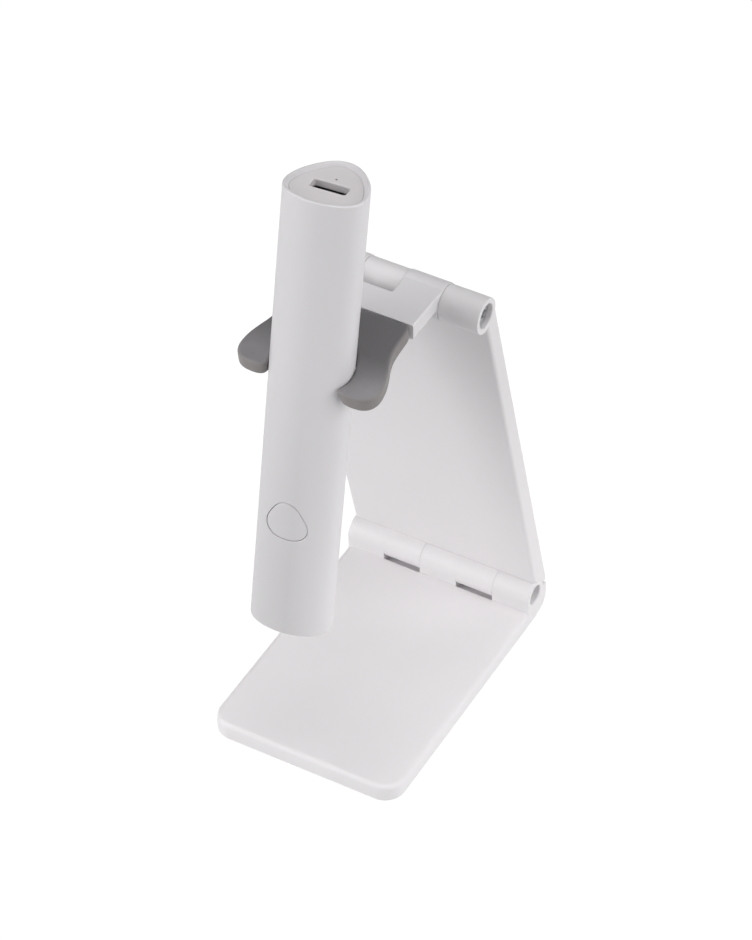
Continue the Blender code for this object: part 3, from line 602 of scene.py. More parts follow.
def heel(k):
    """The plate carries on under its own knuckles and turns up behind them in a full round."""
    # columns: y, z, inward y, inward z, share of the side rim's inset the point takes
    profile = [(LOWER_WALL, PAD_PROUD, 0.0, 1.0, 1.0), (HEEL_START, PAD_PROUD, 0.0, 1.0, 1.0)]
    for i in range(1, 21):
        t = math.pi / 2 * i / 20
        y, z = HEEL_START + HEEL_RUN * math.sin(t), PAD_PROUD + HEEL_RISE - HEEL_RISE * math.cos(t)
        profile.append((y, z, -math.sin(t), math.cos(t), 1.0 - 0.75 * i / 20))
    profile += [
        (HEEL_BACK, 9.3, -1.0, 0.0, 0.25),
        (45.56, 9.6, -0.9, -0.4, 0.25),
        (45.44, 9.88, -0.7, -0.7, 0.25),
        (45.22, 10.12, -0.4, -0.9, 0.25),
        (44.9, 10.26, -0.2, -1.0, 0.25),
        (44.5, HEEL_TOP, 0.0, -1.0, 0.25),
        (42.5, HEEL_TOP, 0, 0, 0),
        (38.5, LOWER_Z, 0, 0, 0),
        (LOWER_Y - LOWER_R, LOWER_Z, 0, 0, 0),
        (LOWER_WALL - 0.15, 9.2, 0, 0, 0),
        (LOWER_WALL, 8.0, 0, 0, 0),
    ]
    # the base's outer ends are fully rounded, the ends next to an upright knuckle only eased
    start = -HALF + k * KNUCKLE + (0.0 if k == 0 else 0.02)
    end = -HALF + (k + 1) * KNUCKLE - (0.0 if k == 4 else 0.02)
    stops = eased(start, end, RIM_HIGH if k == 0 else 0.1, RIM_HIGH if k == 4 else 0.1, 8)
    return loft([
        [(x, y + in_y * less * share, z + in_z * less * share) for y, z, in_y, in_z, share in profile]
        for x, less in stops
    ])


def base_screw(lo, hi, centre):
    """A screw, head down: domed head, then thread crests up to the point."""
    head_r, dome, head_high, core_r, crest_r, pitch = 1.85, 0.35, 0.5, 0.56, 0.65, 0.25
    profile = [(0.5, lo.z)]
    for i in reversed(range(6)):
        a = math.pi / 2 * i / 6
        profile.append((head_r * math.cos(a), lo.z + dome - dome * math.sin(a)))
    profile += [(head_r, lo.z + head_high), (crest_r, lo.z + head_high)]
    z = lo.z + head_high
    while z < hi.z - 0.45:
        profile += [(core_r, z + 0.12), (crest_r, z + pitch)]
        z += pitch
    return turned("z", profile + [(0.2, hi.z)], centre, 64, closed=False)


base_screws = {}
for corner in ("front_left", "front_right", "rear_left", "rear_right"):
    node = "base_screw_" + corner
    middle = (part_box(node)[0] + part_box(node)[1]) / 2 / MM
    base_screws[node] = (middle.x, middle.y)
screw_places = list(base_screws.values())
cover_lo, cover_hi = world_box("base_bottom_cover")
pad_lo, pad_hi = world_box("base_pad")

bore_mouth = [
    (0.01, HALF - 0.5),
    (LOWER_BORE_R, HALF - 0.5),
    (LOWER_BORE_R + 0.07, HALF - 0.25),
    (LOWER_BORE_R + 0.22, HALF - 0.08),
    (LOWER_BORE_R + 0.5, HALF + 0.02),
    (LOWER_BORE_R + 0.5, HALF + 0.4),
    (0.01, HALF + 0.4),
]
make(
    "base_shell",
    slab(
        (-HALF, base_lo.y, PAD_PROUD), (HALF, LOWER_Y + 1.3, BASE_TOP),
        (PLATE_R, PLATE_R, 0, 0), RIM_LOW, RIM_HIGH, steps=20, soft=9,
    ),
    cut(joined(*[slot_cutter(k) for k in TWO])),
    fuse(knuckles(THREE, LOWER_R, LOWER_AT, gap=0.01, soft=0.05)),
    fuse(joined(*[heel(k) for k in THREE])),
    cut(rod("x", LOWER_BORE_R, -HALF - 2, HALF + 2, LOWER_AT)),
    cut(both_ends(bore_mouth, LOWER_AT)),
    cut(slab(  # pocket for the cover
        (cover_lo.x - COVER_GAP, cover_lo.y - COVER_GAP, -1),
        (cover_hi.x + COVER_GAP, cover_hi.y + COVER_GAP, 4.3),
        (5.5, 5.5, 2, 2),
    )),
    fuse(pegs(screw_places, BASE_POST_R, 2.7, 4.9, 48)),
    cut(pegs(screw_places, THREAD_HOLE_R, 2.0, 5.2, 32)),
    body="base", material="white_plastic", replaces="base_plate",
)
make(
    "base_underside_cover",
    slab(cover_lo, cover_hi, (5.2, 5.2, 1.7, 1.7), low=0.3, high=0.15, steps=14, soft=4),
    cut(slab(
        (pad_lo.x - PAD_GAP, pad_lo.y - PAD_GAP, 0),
        (pad_hi.x + PAD_GAP, pad_hi.y + PAD_GAP, 1.3),
        3.3,
    )),
    cut(pegs(screw_places, BASE_HEAD_ROOM_R, 1.0, 1.95, 48)),
    cut(pegs(screw_places, THREAD_HOLE_R, 1.5, 3.0, 32)),
    body="base", material="white_plastic", replaces="base_bottom_cover",
)
make(
    "grip_pad",
    slab(pad_lo, pad_hi, 3.0, low=0.3, high=0.1, steps=14),
    body="base", material="pad_rubber", replaces="base_pad",
)
for node, centre in base_screws.items():
    make(
        node + "_turned", base_screw(*world_box(node), centre),
        body="base", material="steel", replaces=node,
    )
pin_lo, pin_hi = world_box("lower_hinge_pin")
make(
    "lower_pin_turned",
    rod("x", (pin_hi.z - pin_lo.z) / 2, pin_lo.x, pin_hi.x, LOWER_AT, ease=0.3),
    body="base", material="steel", replaces="lower_hinge_pin",
)

# ================================================================ upright
# y of the plate's front and rear faces, at its foot and at its head
FRONT_FOOT, FRONT_HEAD = 0.8, -0.2
REAR_FOOT, REAR_HEAD = 7.3, 5.3
FOOT = -0.35
COUNTERBORE_R, COUNTERBORE_X = 3.6, 25.6
HEAD_R = COUNTERBORE_R - 0.15
SHANK_R = UPPER_BORE_R - 0.3


def upright_plate():
    """A plate that thins towards its head, its lower rim eased."""
    stops = [(FOOT, 0.3), (FOOT + 0.09, 0.09), (FOOT + 0.3, 0.0)]  # height, inset
    stops += [(z, 0.0) for z in (20.0, 45.0, 75.0, 105.0, UPRIGHT_LEN - 1.0)]
    rings = []
    for z, inset in stops:
        t = (z - 1.5) / (UPRIGHT_LEN - 2.5)
        front = FRONT_FOOT + (FRONT_HEAD - FRONT_FOOT) * t
        rear = REAR_FOOT + (REAR_HEAD - REAR_FOOT) * t
        plan = rounded(
            -HALF + inset, HALF - inset, front + inset, rear - inset, (1.1, 1.1, 1.2, 1.2), 9
        )
        rings.append([(x, y, z) for x, y in plan])
    return loft(rings)


def cross_recess(face, size, width, depth):
    """The two tapering bars of a cross, cut from x = face towards lower x."""
    bars = []
    for swap in (False, True):
        rings = []
        for x, half_long, half_wide in (
            (face + 0.4, size, width), (face, size, width), (face - depth, size * 0.55, width * 0.75)
        ):
            y, z = (half_wide, half_long) if swap else (half_long, half_wide)
            corners = ((-y, -z), (y, -z), (y, z), (-y, z))
            rings.append([(x, across, UPRIGHT_LEN + rise) for across, rise in corners])
        bars.append(loft(rings))
    return bars


def upper_screw():
    """The shank's end is chamfered, and the head at +X is a shallow dome."""
    tip, head = -COUNTERBORE_X - 3.0, COUNTERBORE_X + 1.5
    profile = [(1.2, tip), (SHANK_R, -COUNTERBORE_X - 2.7), (SHANK_R, head), (HEAD_R, head)]
    profile.append((HEAD_R, COUNTERBORE_X + 2.2))
    for i in range(8):
        a = math.pi / 2 * i / 8
        profile.append((HEAD_R - 0.6 + 0.6 * math.cos(a), COUNTERBORE_X + 3.0 + 0.5 * math.sin(a)))
    profile += [(HEAD_R - 1.6, COUNTERBORE_X + 3.58), (0.3, COUNTERBORE_X + 3.6)]
    return turned("x", profile, UPPER_AT, 72, closed=False)


def split_washer():
    """A split spring washer: a square-section ring with a gap, its ends out of line."""
    # columns: radius, distance along x
    wire = (
        (1.85, 0.04), (1.89, 0.0), (3.02, 0.0), (3.08, 0.06),
        (3.08, 0.66), (3.02, 0.72), (1.89, 0.72), (1.85, 0.68),
    )
    rings = []
    for i in range(89):
        t = i / 88
        a = math.radians(8) + t * math.radians(344)
        lift = COUNTERBORE_X + 0.3 + 0.12 * t
        rings.append([(lift + x, r * math.cos(a), UPRIGHT_LEN + r * math.sin(a)) for r, x in wire])
    return loft(rings)


counterbore = [
    (0.01, COUNTERBORE_X),
    (COUNTERBORE_R, COUNTERBORE_X),
    (COUNTERBORE_R, HALF - 0.35),
    (COUNTERBORE_R + 0.1, HALF - 0.13),
    (COUNTERBORE_R + 0.35, HALF + 0.05),
    (COUNTERBORE_R + 0.35, HALF + 1),
    (0.01, HALF + 1),
]
make(
    "upright_shell",
    upright_plate(),
    # room for the base's knuckles and the arm's
    cut(knuckles(THREE, LOWER_R + 0.04, (0, 0), gap=0.10, end_gap=-1.02)),
    cut(knuckles(TWO, ARM_KNUCKLE_R + 0.3, UPPER_AT, gap=0.09)),
    fuse(knuckles(TWO, LOWER_R + 0.13, (0, 0), gap=0.01, soft=0.10)),
    fuse(knuckles(THREE, UPPER_R, UPPER_AT, gap=0.03, soft=0.16)),
    cut(joined(
        rod("x", LOWER_BORE_R, -HALF - 2, HALF + 2),
        rod("x", UPPER_BORE_R, -HALF - 2, HALF + 2, UPPER_AT, 64),
    )),
    cut(both_ends(counterbore, UPPER_AT)),
    body="upright", material="white_plastic", replaces="upright_plate",
)
recess = cross_recess(COUNTERBORE_X + 3.6, size=2.2, width=0.55, depth=1.4)
make(
    "upper_screw_turned", upper_screw(), *[cut(bar) for bar in recess],
    body="upright", material="steel", replaces="upper_hinge_screw",
)
make(
    "spring_washer_split", split_washer(),
    body="upright", material="steel", replaces="upper_hinge_spring_washer",
)
nut_profile = [
    (2.75, -COUNTERBORE_X - 2.7),
    (3.13, -COUNTERBORE_X - 2.45),
    (3.13, -COUNTERBORE_X - 0.55),
    (2.75, -COUNTERBORE_X - 0.3),
]
make(
    "hex_nut",
    turned("x", nut_profile, UPPER_AT, 6, closed=False),
    cut(rod("x", UPPER_BORE_R, -32, -20, UPPER_AT, 48)),
    body="upright", material="steel", replaces="upper_hinge_nut", sharp=20,
)

# ================================================================ arm
ARM_LEN, ARM_HALF, ARM_BOTTOM, ARM_TOP = 18.3, arm_hi.x, 0.35, 5.25
TONGUE_HALF, TONGUE_LEN, TONGUE_BOTTOM, TONGUE_TOP, TONGUE_R = 12.5, 5.2, 1.6, 3.3, 1.5
NOTCH_HALF, NOTCH_LEN, NOTCH_R = 6.4, 8.6, 0.5
hold_lo, hold_hi = local_box("claw_screw_right", ARM)
HOLD_X, HOLD_Y = (hold_lo.x + hold_hi.x) / 2, (hold_lo.y + hold_hi.y) / 2
hold_places = [(-HOLD_X, HOLD_Y), (HOLD_X, HOLD_Y)]


def notch_outline(grow):
    x, radius = NOTCH_HALF + grow, NOTCH_R + grow
    return rounded(-x, x, -NOTCH_LEN - grow, 9, (radius, radius, 0, 0), 6)


arm_profile = rounded(-ARM_HALF, ARM_HALF, ARM_BOTTOM, ARM_TOP, 0.55, 7)
make(
    "arm_shell",
    loft([[(x, y, z) for x, z in arm_profile] for y in (-ARM_LEN, 0.0)]),
    cut(flared(notch_outline, ARM_TOP, -10, 0.3)),
    fuse(knuckles(TWO, ARM_KNUCKLE_R, (0, 0), gap=0.03, soft=0.14)),
    cut(rod("x", UPPER_BORE_R, -25, 25, count=64)),
    fuse(slab(
        (-TONGUE_HALF, -ARM_LEN - TONGUE_LEN, TONGUE_BOTTOM),
        (TONGUE_HALF, -ARM_LEN + 1.0, TONGUE_TOP),
        (TONGUE_R, TONGUE_R, 0, 0),
    )),
    cut(pegs(hold_places, THREAD_HOLE_R, 0, 6, 32)),
    body="arm", material="arm_white_plastic", replaces="arm_bracket",
)

# columns: radius, height; the head is at the bottom
claw_screw = (
    (0.5, -0.3), (1.2, -0.27), (1.45, -0.15), (1.5, 0.0),
    (1.5, 0.35), (0.65, 0.35), (0.65, 3.5), (0.3, 3.8),
)
for side, centre in zip(("left", "right"), hold_places):
    make(
        f"claw_screw_{side}_turned", turned("z", claw_screw, centre, 48, closed=False),
        body="arm", material="steel", replaces=f"claw_screw_{side}",
    )

# ================================================================ the wand's section
SECTION_STEP = 1e-4  # angle for the tangent


def section_polar(angle):
    """The casing's outline: a rounded triangle. The angle runs from +y towards +x."""
    radius = (
        11.42 + 0.11 * math.cos(2 * angle) + 0.889 * math.cos(3 * angle)
        + 0.05 * math.cos(4 * angle) + 0.109 * math.cos(6 * angle)
    )
    return Vector((radius * math.sin(angle), radius * math.cos(angle)))


def section_point(angle, inset=0.0):
    tangent = section_polar(angle + SECTION_STEP) - section_polar(angle - SECTION_STEP)
    tangent = tangent.normalized()
    inward = Vector((tangent.y, -tangent.x))
    point = section_polar(angle)
    if inward.dot(point) > 0:
        inward.negate()
    return point + inward * inset


def section(inset, z, count=192):
    points = [section_point(2 * math.pi * i / count, inset) for i in range(count)]
    return [(p.x, p.y, z) for p in points]


# ================================================================ claw
# The claw's frame is at the arm's end, tilted; outlines are drawn as (x, distance forwards).
CLAW_SLOPE, CLAW_T, CLAW_EDGE = math.radians(8.6), 4.7, 0.85
CLAW_REAR = -ARM_LEN - 0.2
CLAW = (
    ARM
    @ Matrix.Translation(Vector((0, CLAW_REAR, ARM_TOP)) * MM)
    @ Matrix.Rotation(CLAW_SLOPE, 4, "X")
)
# columns: half width, distance forwards from the arm; the side runs out to the free end
CLAW_STATIONS = (
    (17.5, 0.0), (17.6, 3.2), (17.55, 6.8), (17.75, 10.3), (18.5, 13.5), (19.6, 16.4), (20.7, 19.8),
    (21.2, 23.2), (20.9, 25.8), (19.8, 27.7), (17.9, 28.7), (15.4, 29.0), (12.8, 29.0), (10.8, 28.7),
)
GRIP_GAP, TONGUE_GAP, REAR_CORNER_R = 0.15, 0.3, 1.4
CORNER_REACH, TIP_REACH = 1.5, 1.9  # half spans of the averages that round the outline


def smooth_chain(points, per_span):
    """A Catmull-Rom curve through the points."""
    chain = [Vector(p) for p in points]
    chain = [2 * chain[0] - chain[1]] + chain + [2 * chain[-1] - chain[-2]]
    out = []
    for before, start, end, after in zip(chain, chain[1:], chain[2:], chain[3:]):
        for k in range(per_span):
            t = k / per_span
            out.append(0.5 * (
                2 * start + (end - before) * t
                + (2 * before - 5 * start + 4 * end - after) * t * t
                + (3 * start - before - 3 * end + after) * t ** 3
            ))
    return out + [chain[-2]]


def resampled(points, count):
    """Points at even spacing round a closed line."""
    points = list(points) + [points[0]]
    total = [0.0]
    for start, end in zip(points, points[1:]):
        total.append(total[-1] + (end - start).length)
    out, j = [], 0
    for i in range(count):
        distance = total[-1] * i / count
        while j < len(total) - 2 and total[j + 1] < distance:
            j += 1
        t = (distance - total[j]) / max(total[j + 1] - total[j], 1e-9)
        out.append(points[j].lerp(points[j + 1], min(max(t, 0), 1)))
    return out


def seat_curve(height):
    """The wand's section grown by the grip gap, where its prism meets the claw at a height."""
    to_claw = CLAW.inverted() @ WAND
    axis = to_claw.to_3x3() @ Vector((0, 0, 1))
    points = []
    for i in range(720):
        flat = section_point(2 * math.pi * i / 720, -GRIP_GAP)
        point = (to_claw @ (Vector((flat.x, flat.y, 0)) * MM)) / MM
        point = point + axis * ((height - point.z) / axis.z)
        points.append(Vector((point.x, -point.y)))
    return points


def inside(p, outline):
    hit = False
    for i in range(len(outline)):
        a, b = outline[i], outline[i - 1]
        if (a.y > p.y) != (b.y > p.y) and p.x < (b.x - a.x) * (p.y - a.y) / (b.y - a.y) + a.x:
            hit = not hit
    return hit


def ramp(value, start, width):
    return min(max((value - start) / width, 0.0), 1.0)


def averaged(ring, reach, shares):
    """Each point moved by its share towards the mean of its neighbours within reach."""
    out = []
    for k, point in enumerate(ring):
        near = (ring[(k + d) % len(ring)] for d in range(-reach, reach + 1))
        out.append(point.lerp(sum(near, Vector((0, 0))) / (2 * reach + 1), shares[k]))
    return out


right_edge = smooth_chain(CLAW_STATIONS, 8)
left_edge = [Vector((-p.x, p.y)) for p in right_edge]


def claw_outline(height):
    """Right side, right tip, seat, left tip and left side, as one closed line."""
    seat = seat_curve(height)
    blank = right_edge + left_edge[::-1]  # passes straight across the wand's front
    # the seat is the run of the section's points that lies in the blank
    count = len(seat)
    keep = [inside(p, blank) for p in seat]
    i = next(i for i in range(count) if keep[i] and not keep[i - 1])
    arc = []
    while keep[i % count]:
        arc.append(seat[i % count])
        i += 1
    if arc[0].x < arc[-1].x:
        arc.reverse()
    right = [p for p in right_edge if not inside(p, seat)]
    left = [p for p in left_edge if not inside(p, seat)]
    return right + arc + left[::-1]


def claw_layer(height, less):
    """The claw's outline at a height, corners rounded, drawn in by less."""
    ring = resampled(claw_outline(height), 1200)
    count = len(ring)
    step = sum((ring[k] - ring[k - 1]).length for k in range(count)) / count
    # round the corners in plan where the outline turns sharply
    reach = max(2, int(CORNER_REACH / step))
    for _ in range(3):
        turn = []
        for k in range(count):
            into, onward = ring[k] - ring[k - reach], ring[(k + reach) % count] - ring[k]
            turn.append(into.angle(onward, 0.0))
        sharpest = [
            max(turn[(k + d) % count] for d in range(-reach, reach + 1, 2)) for k in range(count)
        ]
        ring = averaged(ring, reach, [ramp(angle, 0.30, 0.35) for angle in sharpest])
    # the two free ends are blunter still
    for _ in range(2):
        shares = [ramp(p.y, 25.0, 2.0) * ramp(15.5 - abs(p.x), 0.0, 2.5) for p in ring]
        ring = averaged(ring, int(TIP_REACH / step), shares)
    # start every layer at the same place, the middle of the rear edge, and go round to +X
    start = min(range(count), key=lambda k: abs(ring[k].x) + (100 if ring[k].y > 2 else 0))
    ring = ring[start:] + ring[:start]
    if ring[10].x < ring[0].x:
        ring = [ring[0]] + ring[:0:-1]
    ring = resampled(ring, 420)
    out = []
    for k, p in enumerate(ring):
        tangent = (ring[(k + 1) % len(ring)] - ring[k - 1]).normalized()
        outward = Vector((tangent.y, -tangent.x))
        out.append(p - outward * less)
    return out


def claw_blank():
    stops = eased(-CLAW_T, 0, CLAW_EDGE, CLAW_EDGE, 7)
    straight = [(-CLAW_T + 1.6, 0), (-CLAW_T / 2, 0), (-1.6, 0)]
    half = len(stops) // 2
    levels = stops[:half] + straight + stops[half:]
    return loft([[(p.x, -p.y, z) for p in claw_layer(z, less)] for z, less in levels])


def rear_corner(side):
    """What a round in plan takes off one rear corner."""
    half, r = CLAW_STATIONS[0][0], REAR_CORNER_R
    outline = []
    for i in range(13):
        a = math.pi / 2 * i / 12
        outline.append((half - r + r * math.sin(a), CLAW_REAR - r + r * math.cos(a)))
    outline += [
        (half + 0.3, CLAW_REAR - r - 0.001), (half + 1.0, CLAW_REAR + 0.5), (half - r, CLAW_REAR + 0.5)
    ]
    return loft([[(side * x, y, z) for x, y in outline] for z in (-9, 12)])


claw_cutters = (  # in the arm's frame
    slab((-30, CLAW_REAR, -9), (30, 6, 12)),
    joined(rear_corner(1), rear_corner(-1)),
    slab(  # room for the arm's tongue
        (
            -TONGUE_HALF - TONGUE_GAP,
            -ARM_LEN - TONGUE_LEN - TONGUE_GAP,
            TONGUE_BOTTOM - TONGUE_GAP,
        ),
        (TONGUE_HALF + TONGUE_GAP, -ARM_LEN + 2.0, TONGUE_TOP + TONGUE_GAP),
        (TONGUE_R, TONGUE_R, 0, 0),
    ),
    pegs(hold_places, 1.8, -6, 0.6, 48),
    pegs(hold_places, THREAD_HOLE_R, -1, 4.1, 32),
)
for cutter in claw_cutters:
    cutter.transform(CLAW.inverted() @ ARM)
make(
    "soft_claw", claw_blank(), *[cut(cutter) for cutter in claw_cutters],
    body="arm", material="claw_rubber", replaces="holder_claw", place=CLAW, sharp=50,
)

# ================================================================ wand casing and button
BOTTOM = -WAND_LEN
WAND_WALL, CASE_RIM, MOUTH_RIM = 1.5, 0.5, 0.22
button_lo, button_hi = local_box("button_cap", WAND)
BUTTON_X, BUTTON_Z = (button_lo.x + button_hi.x) / 2, -101.0
BUTTON_R, BUTTON_TRI = 5.85, 0.55  # mean radius and swing of the rounded triangle
BUTTON_SUNK, BUTTON_SOFT, BUTTON_DISH = 0.08, 0.30, 0.18
GROOVE, FLARE = 0.13, 0.16  # gap round the button and the round on its rim
# Inner side of the upper rim, a soft slope that narrows down to the cap. Columns: inset, z
SLOPE = (
    (1.50, -3.0), (1.76, -2.4), (1.76, -1.25), (1.74, -1.08), (1.66, -0.93),
    (1.30, -0.52), (1.02, -0.24), (0.90, -0.12), (0.76, -0.05), (0.62, -0.02),
)


def front_y(x):
    """The casing's front surface at x, by bisection on the section's angle."""
    lo, hi = (math.pi * 0.5, math.pi) if x >= 0 else (math.pi, math.pi * 1.5)
    for _ in range(40):
        middle = (lo + hi) / 2
        if section_point(middle).x > x:
            lo = middle
        else:
            hi = middle
    return section_point((lo + hi) / 2).y


def button_ring(grow, depth, scale=1.0):
    """A rounded triangle, point up, at a depth under the casing's front surface."""
    ring = []
    for i in range(144):
        a = 2 * math.pi * i / 144
        radius = (BUTTON_R + BUTTON_TRI * math.cos(3 * a) + grow) * scale
        x = BUTTON_X + radius * math.sin(a)
        ring.append((x, front_y(x) + depth, BUTTON_Z + radius * math.cos(a)))
    return ring


def casing_tube():
    rim = easing(CASE_RIM, 6)
    heights = [-20.0, -60.0, -88.0] + [-92.0 - 1.5 * k for k in range(13)] + [-114.0, -128.0]
    stops = [(WAND_WALL, -8.0), *SLOPE]
    stops += [(inset, -depth - 0.02) for inset, depth in rim]
    stops += [(0.0, z) for z in heights]
    stops += [(inset, BOTTOM + depth) for inset, depth in reversed(rim)]
    stops += [(WAND_WALL - inset, BOTTOM + depth) for inset, depth in easing(MOUTH_RIM, 3)]
    stops += [(WAND_WALL, z) for z in (BOTTOM + 8.0, -114.0, -88.0)]
    return loft([section(inset, z) for inset, z in stops], ring_closed=True)


def button_hole():
    rings = [button_ring(GROOVE + FLARE, -3.0)]
    rings += [button_ring(GROOVE + inset, depth) for inset, depth in easing(FLARE)]
    return loft(rings + [button_ring(GROOVE, 4.0)])


def button_shape():
    """Side wall, rounded rim, then a shallow dish that follows the casing's curve."""
    back = [(x, max(y, -9.2), z) for x, y, z in button_ring(0, BUTTON_SOFT + 0.3)]
    rings = [back, button_ring(0, BUTTON_SOFT + BUTTON_SUNK)]
    for rise, inset in easing(BUTTON_SOFT, 6)[1:]:
        rings.append(button_ring(-inset, BUTTON_SUNK + rise))
    for scale in (0.80, 0.62, 0.42, 0.22, 0.06):
        dish = BUTTON_SUNK + BUTTON_DISH * (1 - scale * scale) ** 2
        rings.append(button_ring(-BUTTON_SOFT, dish, scale))
    return loft(rings)


make(
    "wand_shell", casing_tube(), cut(button_hole()),
    body="wand", material="wand_white_plastic", replaces="wand_casing",
)
make(
    "button_face", button_shape(),
    body="button", material="wand_white_plastic", replaces="button_cap",
)

# ================================================================ wand's upper end
CAP_DEPTH = 1.0
BEZEL_INSET = 1.7
CAP_INSET, CAP_CORE = 1.79, BEZEL_INSET + 1.3  # the cap's edge meets the foot of the rim's slope
PORT_W, PORT_H, PORT_R, LIGHT_Y, LIGHT_R = 10.2, 4.0, 0.8, 4.3, 0.3
USB_WALL = 0.35
cap_lo = local_box("top_end_cap", WAND)[0]
usb_lo, usb_hi = local_box("usb_receptacle", WAND)
tongue_lo, tongue_hi = local_box("usb_contact_tongue", WAND)
pipe_lo, pipe_hi = local_box("charge_light_pipe", WAND)


def port_outline(grow):
    x, y = PORT_W / 2 + grow, PORT_H / 2 + grow
    return rounded(-x, x, -y, y, PORT_R + grow)


def light_outline(grow):
    return circle(LIGHT_R + 0.04 + grow, 48, (0, LIGHT_Y))


def usb_contacts():
    """Two rows of twelve thin strips, one on each face of the tongue."""
    strips = []
    for k in range(12):
        x = tongue_lo.x + 0.55 + k * (tongue_hi.x - tongue_lo.x - 1.1) / 11
        for y in (tongue_lo.y - 0.03, tongue_hi.y - 0.05):
            lo = (x - 0.12, y, tongue_hi.z - 3.2)
            strips.append(slab(lo, (x + 0.12, y + 0.08, tongue_hi.z - 0.5), 0.03, steps=2))
    return joined(*strips)


cap_stops = [(CAP_CORE, -CAP_DEPTH - 2.0), (CAP_CORE, cap_lo.z), (CAP_INSET, cap_lo.z)]
cap_stops += [(CAP_INSET + inset, -CAP_DEPTH - depth) for inset, depth in reversed(easing(0.12, 3))]
make(
    "top_cap_shell",
    loft([section(inset, z) for inset, z in cap_stops]),
    cut(flared(port_outline, -CAP_DEPTH, -5, 0.28, 6)),
    cut(flared(light_outline, -CAP_DEPTH, -5, 0.16)),
    body="wand", material="cap_plastic", replaces="top_end_cap",
)
make(
    "usb_shell",
    slab(usb_lo, usb_hi, 1.4, high=0.12, soft=3),
    cut(slab(
        (usb_lo.x + USB_WALL, usb_lo.y + USB_WALL, usb_lo.z + 0.5),
        (usb_hi.x - USB_WALL, usb_hi.y - USB_WALL, usb_hi.z + 2),
        1.1,
    )),
    body="wand", material="plated_shell", replaces="usb_receptacle",
)
make(
    "usb_tongue", slab(tongue_lo, tongue_hi, 0.25, high=0.15, steps=5, soft=3),
    body="wand", material="dark_plastic", replaces="usb_contact_tongue",
)
make("usb_contacts", usb_contacts(), body="wand", material="contact_gold")
make(
    "light_pipe", rod("z", LIGHT_R, pipe_lo.z, pipe_hi.z, (0, LIGHT_Y), 32, 0.12),
    body="wand", material="clear_window", replaces="charge_light_pipe",
)

# ================================================================ wand's lower end
BEZEL_Z = BOTTOM + CAP_DEPTH
BEZEL_CORE, BEZEL_HOLE_R, BEZEL_FLARE = BEZEL_INSET + 1.1, 6.4, 0.4
LENS_R, LED_HALF, DOME_R, DOME_RISE = 7.3, 1.5, 1.3, 1.05
bezel_hi = local_box("head_bezel", WAND)[1]
cup_lo, cup_hi = local_box("reflector_cup", WAND)
led_hi = local_box("uv_led", WAND)[1]
led_face = led_hi.z - 0.8


def bezel_opening():
    profile = [(BEZEL_HOLE_R + BEZEL_FLARE, BEZEL_Z - 2)]
    profile += [(BEZEL_HOLE_R + inset, BEZEL_Z + depth) for inset, depth in easing(BEZEL_FLARE)]
    return turned("z", profile + [(BEZEL_HOLE_R, -130.0)], closed=False)


def reflector_bowl():
    """A bowl that widens downwards, with a rim at its mouth."""
    wall = []
    for i in range(13):
        t = i / 12
        wall.append((2.5 + 4.1 * t ** 0.62, cup_hi.z - (cup_hi.z - cup_lo.z) * t))
    outer = [(radius + 0.6, z) for radius, z in wall]
    outer[0] = (3.3, cup_hi.z)
    outer[-1] = (7.2, cup_lo.z)
    return turned("z", wall + outer[::-1])


def led_dome():
    profile = [(DOME_R, led_face + 0.3)]
    for i in range(10):
        a = math.pi / 2 * i / 10
        profile.append((DOME_R * math.cos(a), led_face + 0.02 - DOME_RISE * math.sin(a)))
    profile.append((0.05, led_face + 0.02 - DOME_RISE))
    return turned("z", profile, count=64, closed=False)


bezel_stops = [(BEZEL_INSET + inset, BEZEL_Z + depth) for inset, depth in easing(0.25, 4)]
bezel_stops += [(BEZEL_INSET, bezel_hi.z), (BEZEL_CORE, bezel_hi.z), (BEZEL_CORE, BEZEL_Z + 1.6)]
make(
    "head_bezel_shell",
    loft([section(inset, z) for inset, z in bezel_stops]),
    cut(bezel_opening()),
    body="wand", material="cap_plastic", replaces="head_bezel",
)
make(
    "lens_clear", rod("z", LENS_R, lens_lo.z - case_hi.z, lens_hi.z - case_hi.z, ease=0.25),
    body="wand", material="clear_window", replaces="lens_window",
)
make(
    "reflector_bowl", reflector_bowl(),
    body="wand", material="reflector", replaces="reflector_cup",
)
make(
    "led_package",
    slab(
        (-LED_HALF, -LED_HALF, led_face), (LED_HALF, LED_HALF, led_hi.z),
        0.25, low=0.08, high=0.05, steps=5, soft=3,
    ),
    body="wand", material="led_ceramic", replaces="uv_led",
)
make("led_dome", led_dome(), body="wand", material="emitter")

# ================================================================ carried-over inner pieces
INNER = {  # node: (material, width of the eased edge)
    "base_ballast": ("steel", 0.12),
    "charge_led": ("emitter", 0.05),
    "port_board": ("circuit_board", 0.05),
    "cell_foam_pad": ("foam", 0.2),
    "battery_cell": ("cell_wrap", 0.2),
    "battery_tray": ("tray_plastic", 0.1),
    "driver_board": ("circuit_board", 0.05),
    "driver_coil": ("dark_plastic", 0.35),
    "driver_chip": ("dark_plastic", 0.1),
    "tact_switch_body": ("dark_plastic", 0.15),
    "cell_lead_red": ("red_wire", 0.05),
    "cell_lead_black": ("black_wire", 0.05),
    "head_heat_sink": ("aluminium", 0.1),
    "led_board": ("aluminium", 0.08),
    "switch_plunger": ("dark_plastic", 0.15),
}
for node, (material, ease) in INNER.items():
    obj = NODES[node]
    obj.data.materials.clear()
    obj.data.materials.append(MATERIALS[material])
    bevel = obj.modifiers.new("eased", "BEVEL")
    bevel.width, bevel.segments = ease * MM, 3
    bevel.limit_method, bevel.angle_limit = "ANGLE", math.radians(35)
    bevel.use_clamp_overlap = True

# ================================================================ floor and world
FLOOR_HALF = 3.0  # metres
WHITE = (1, 1, 1, 1)
scene = bpy.context.scene


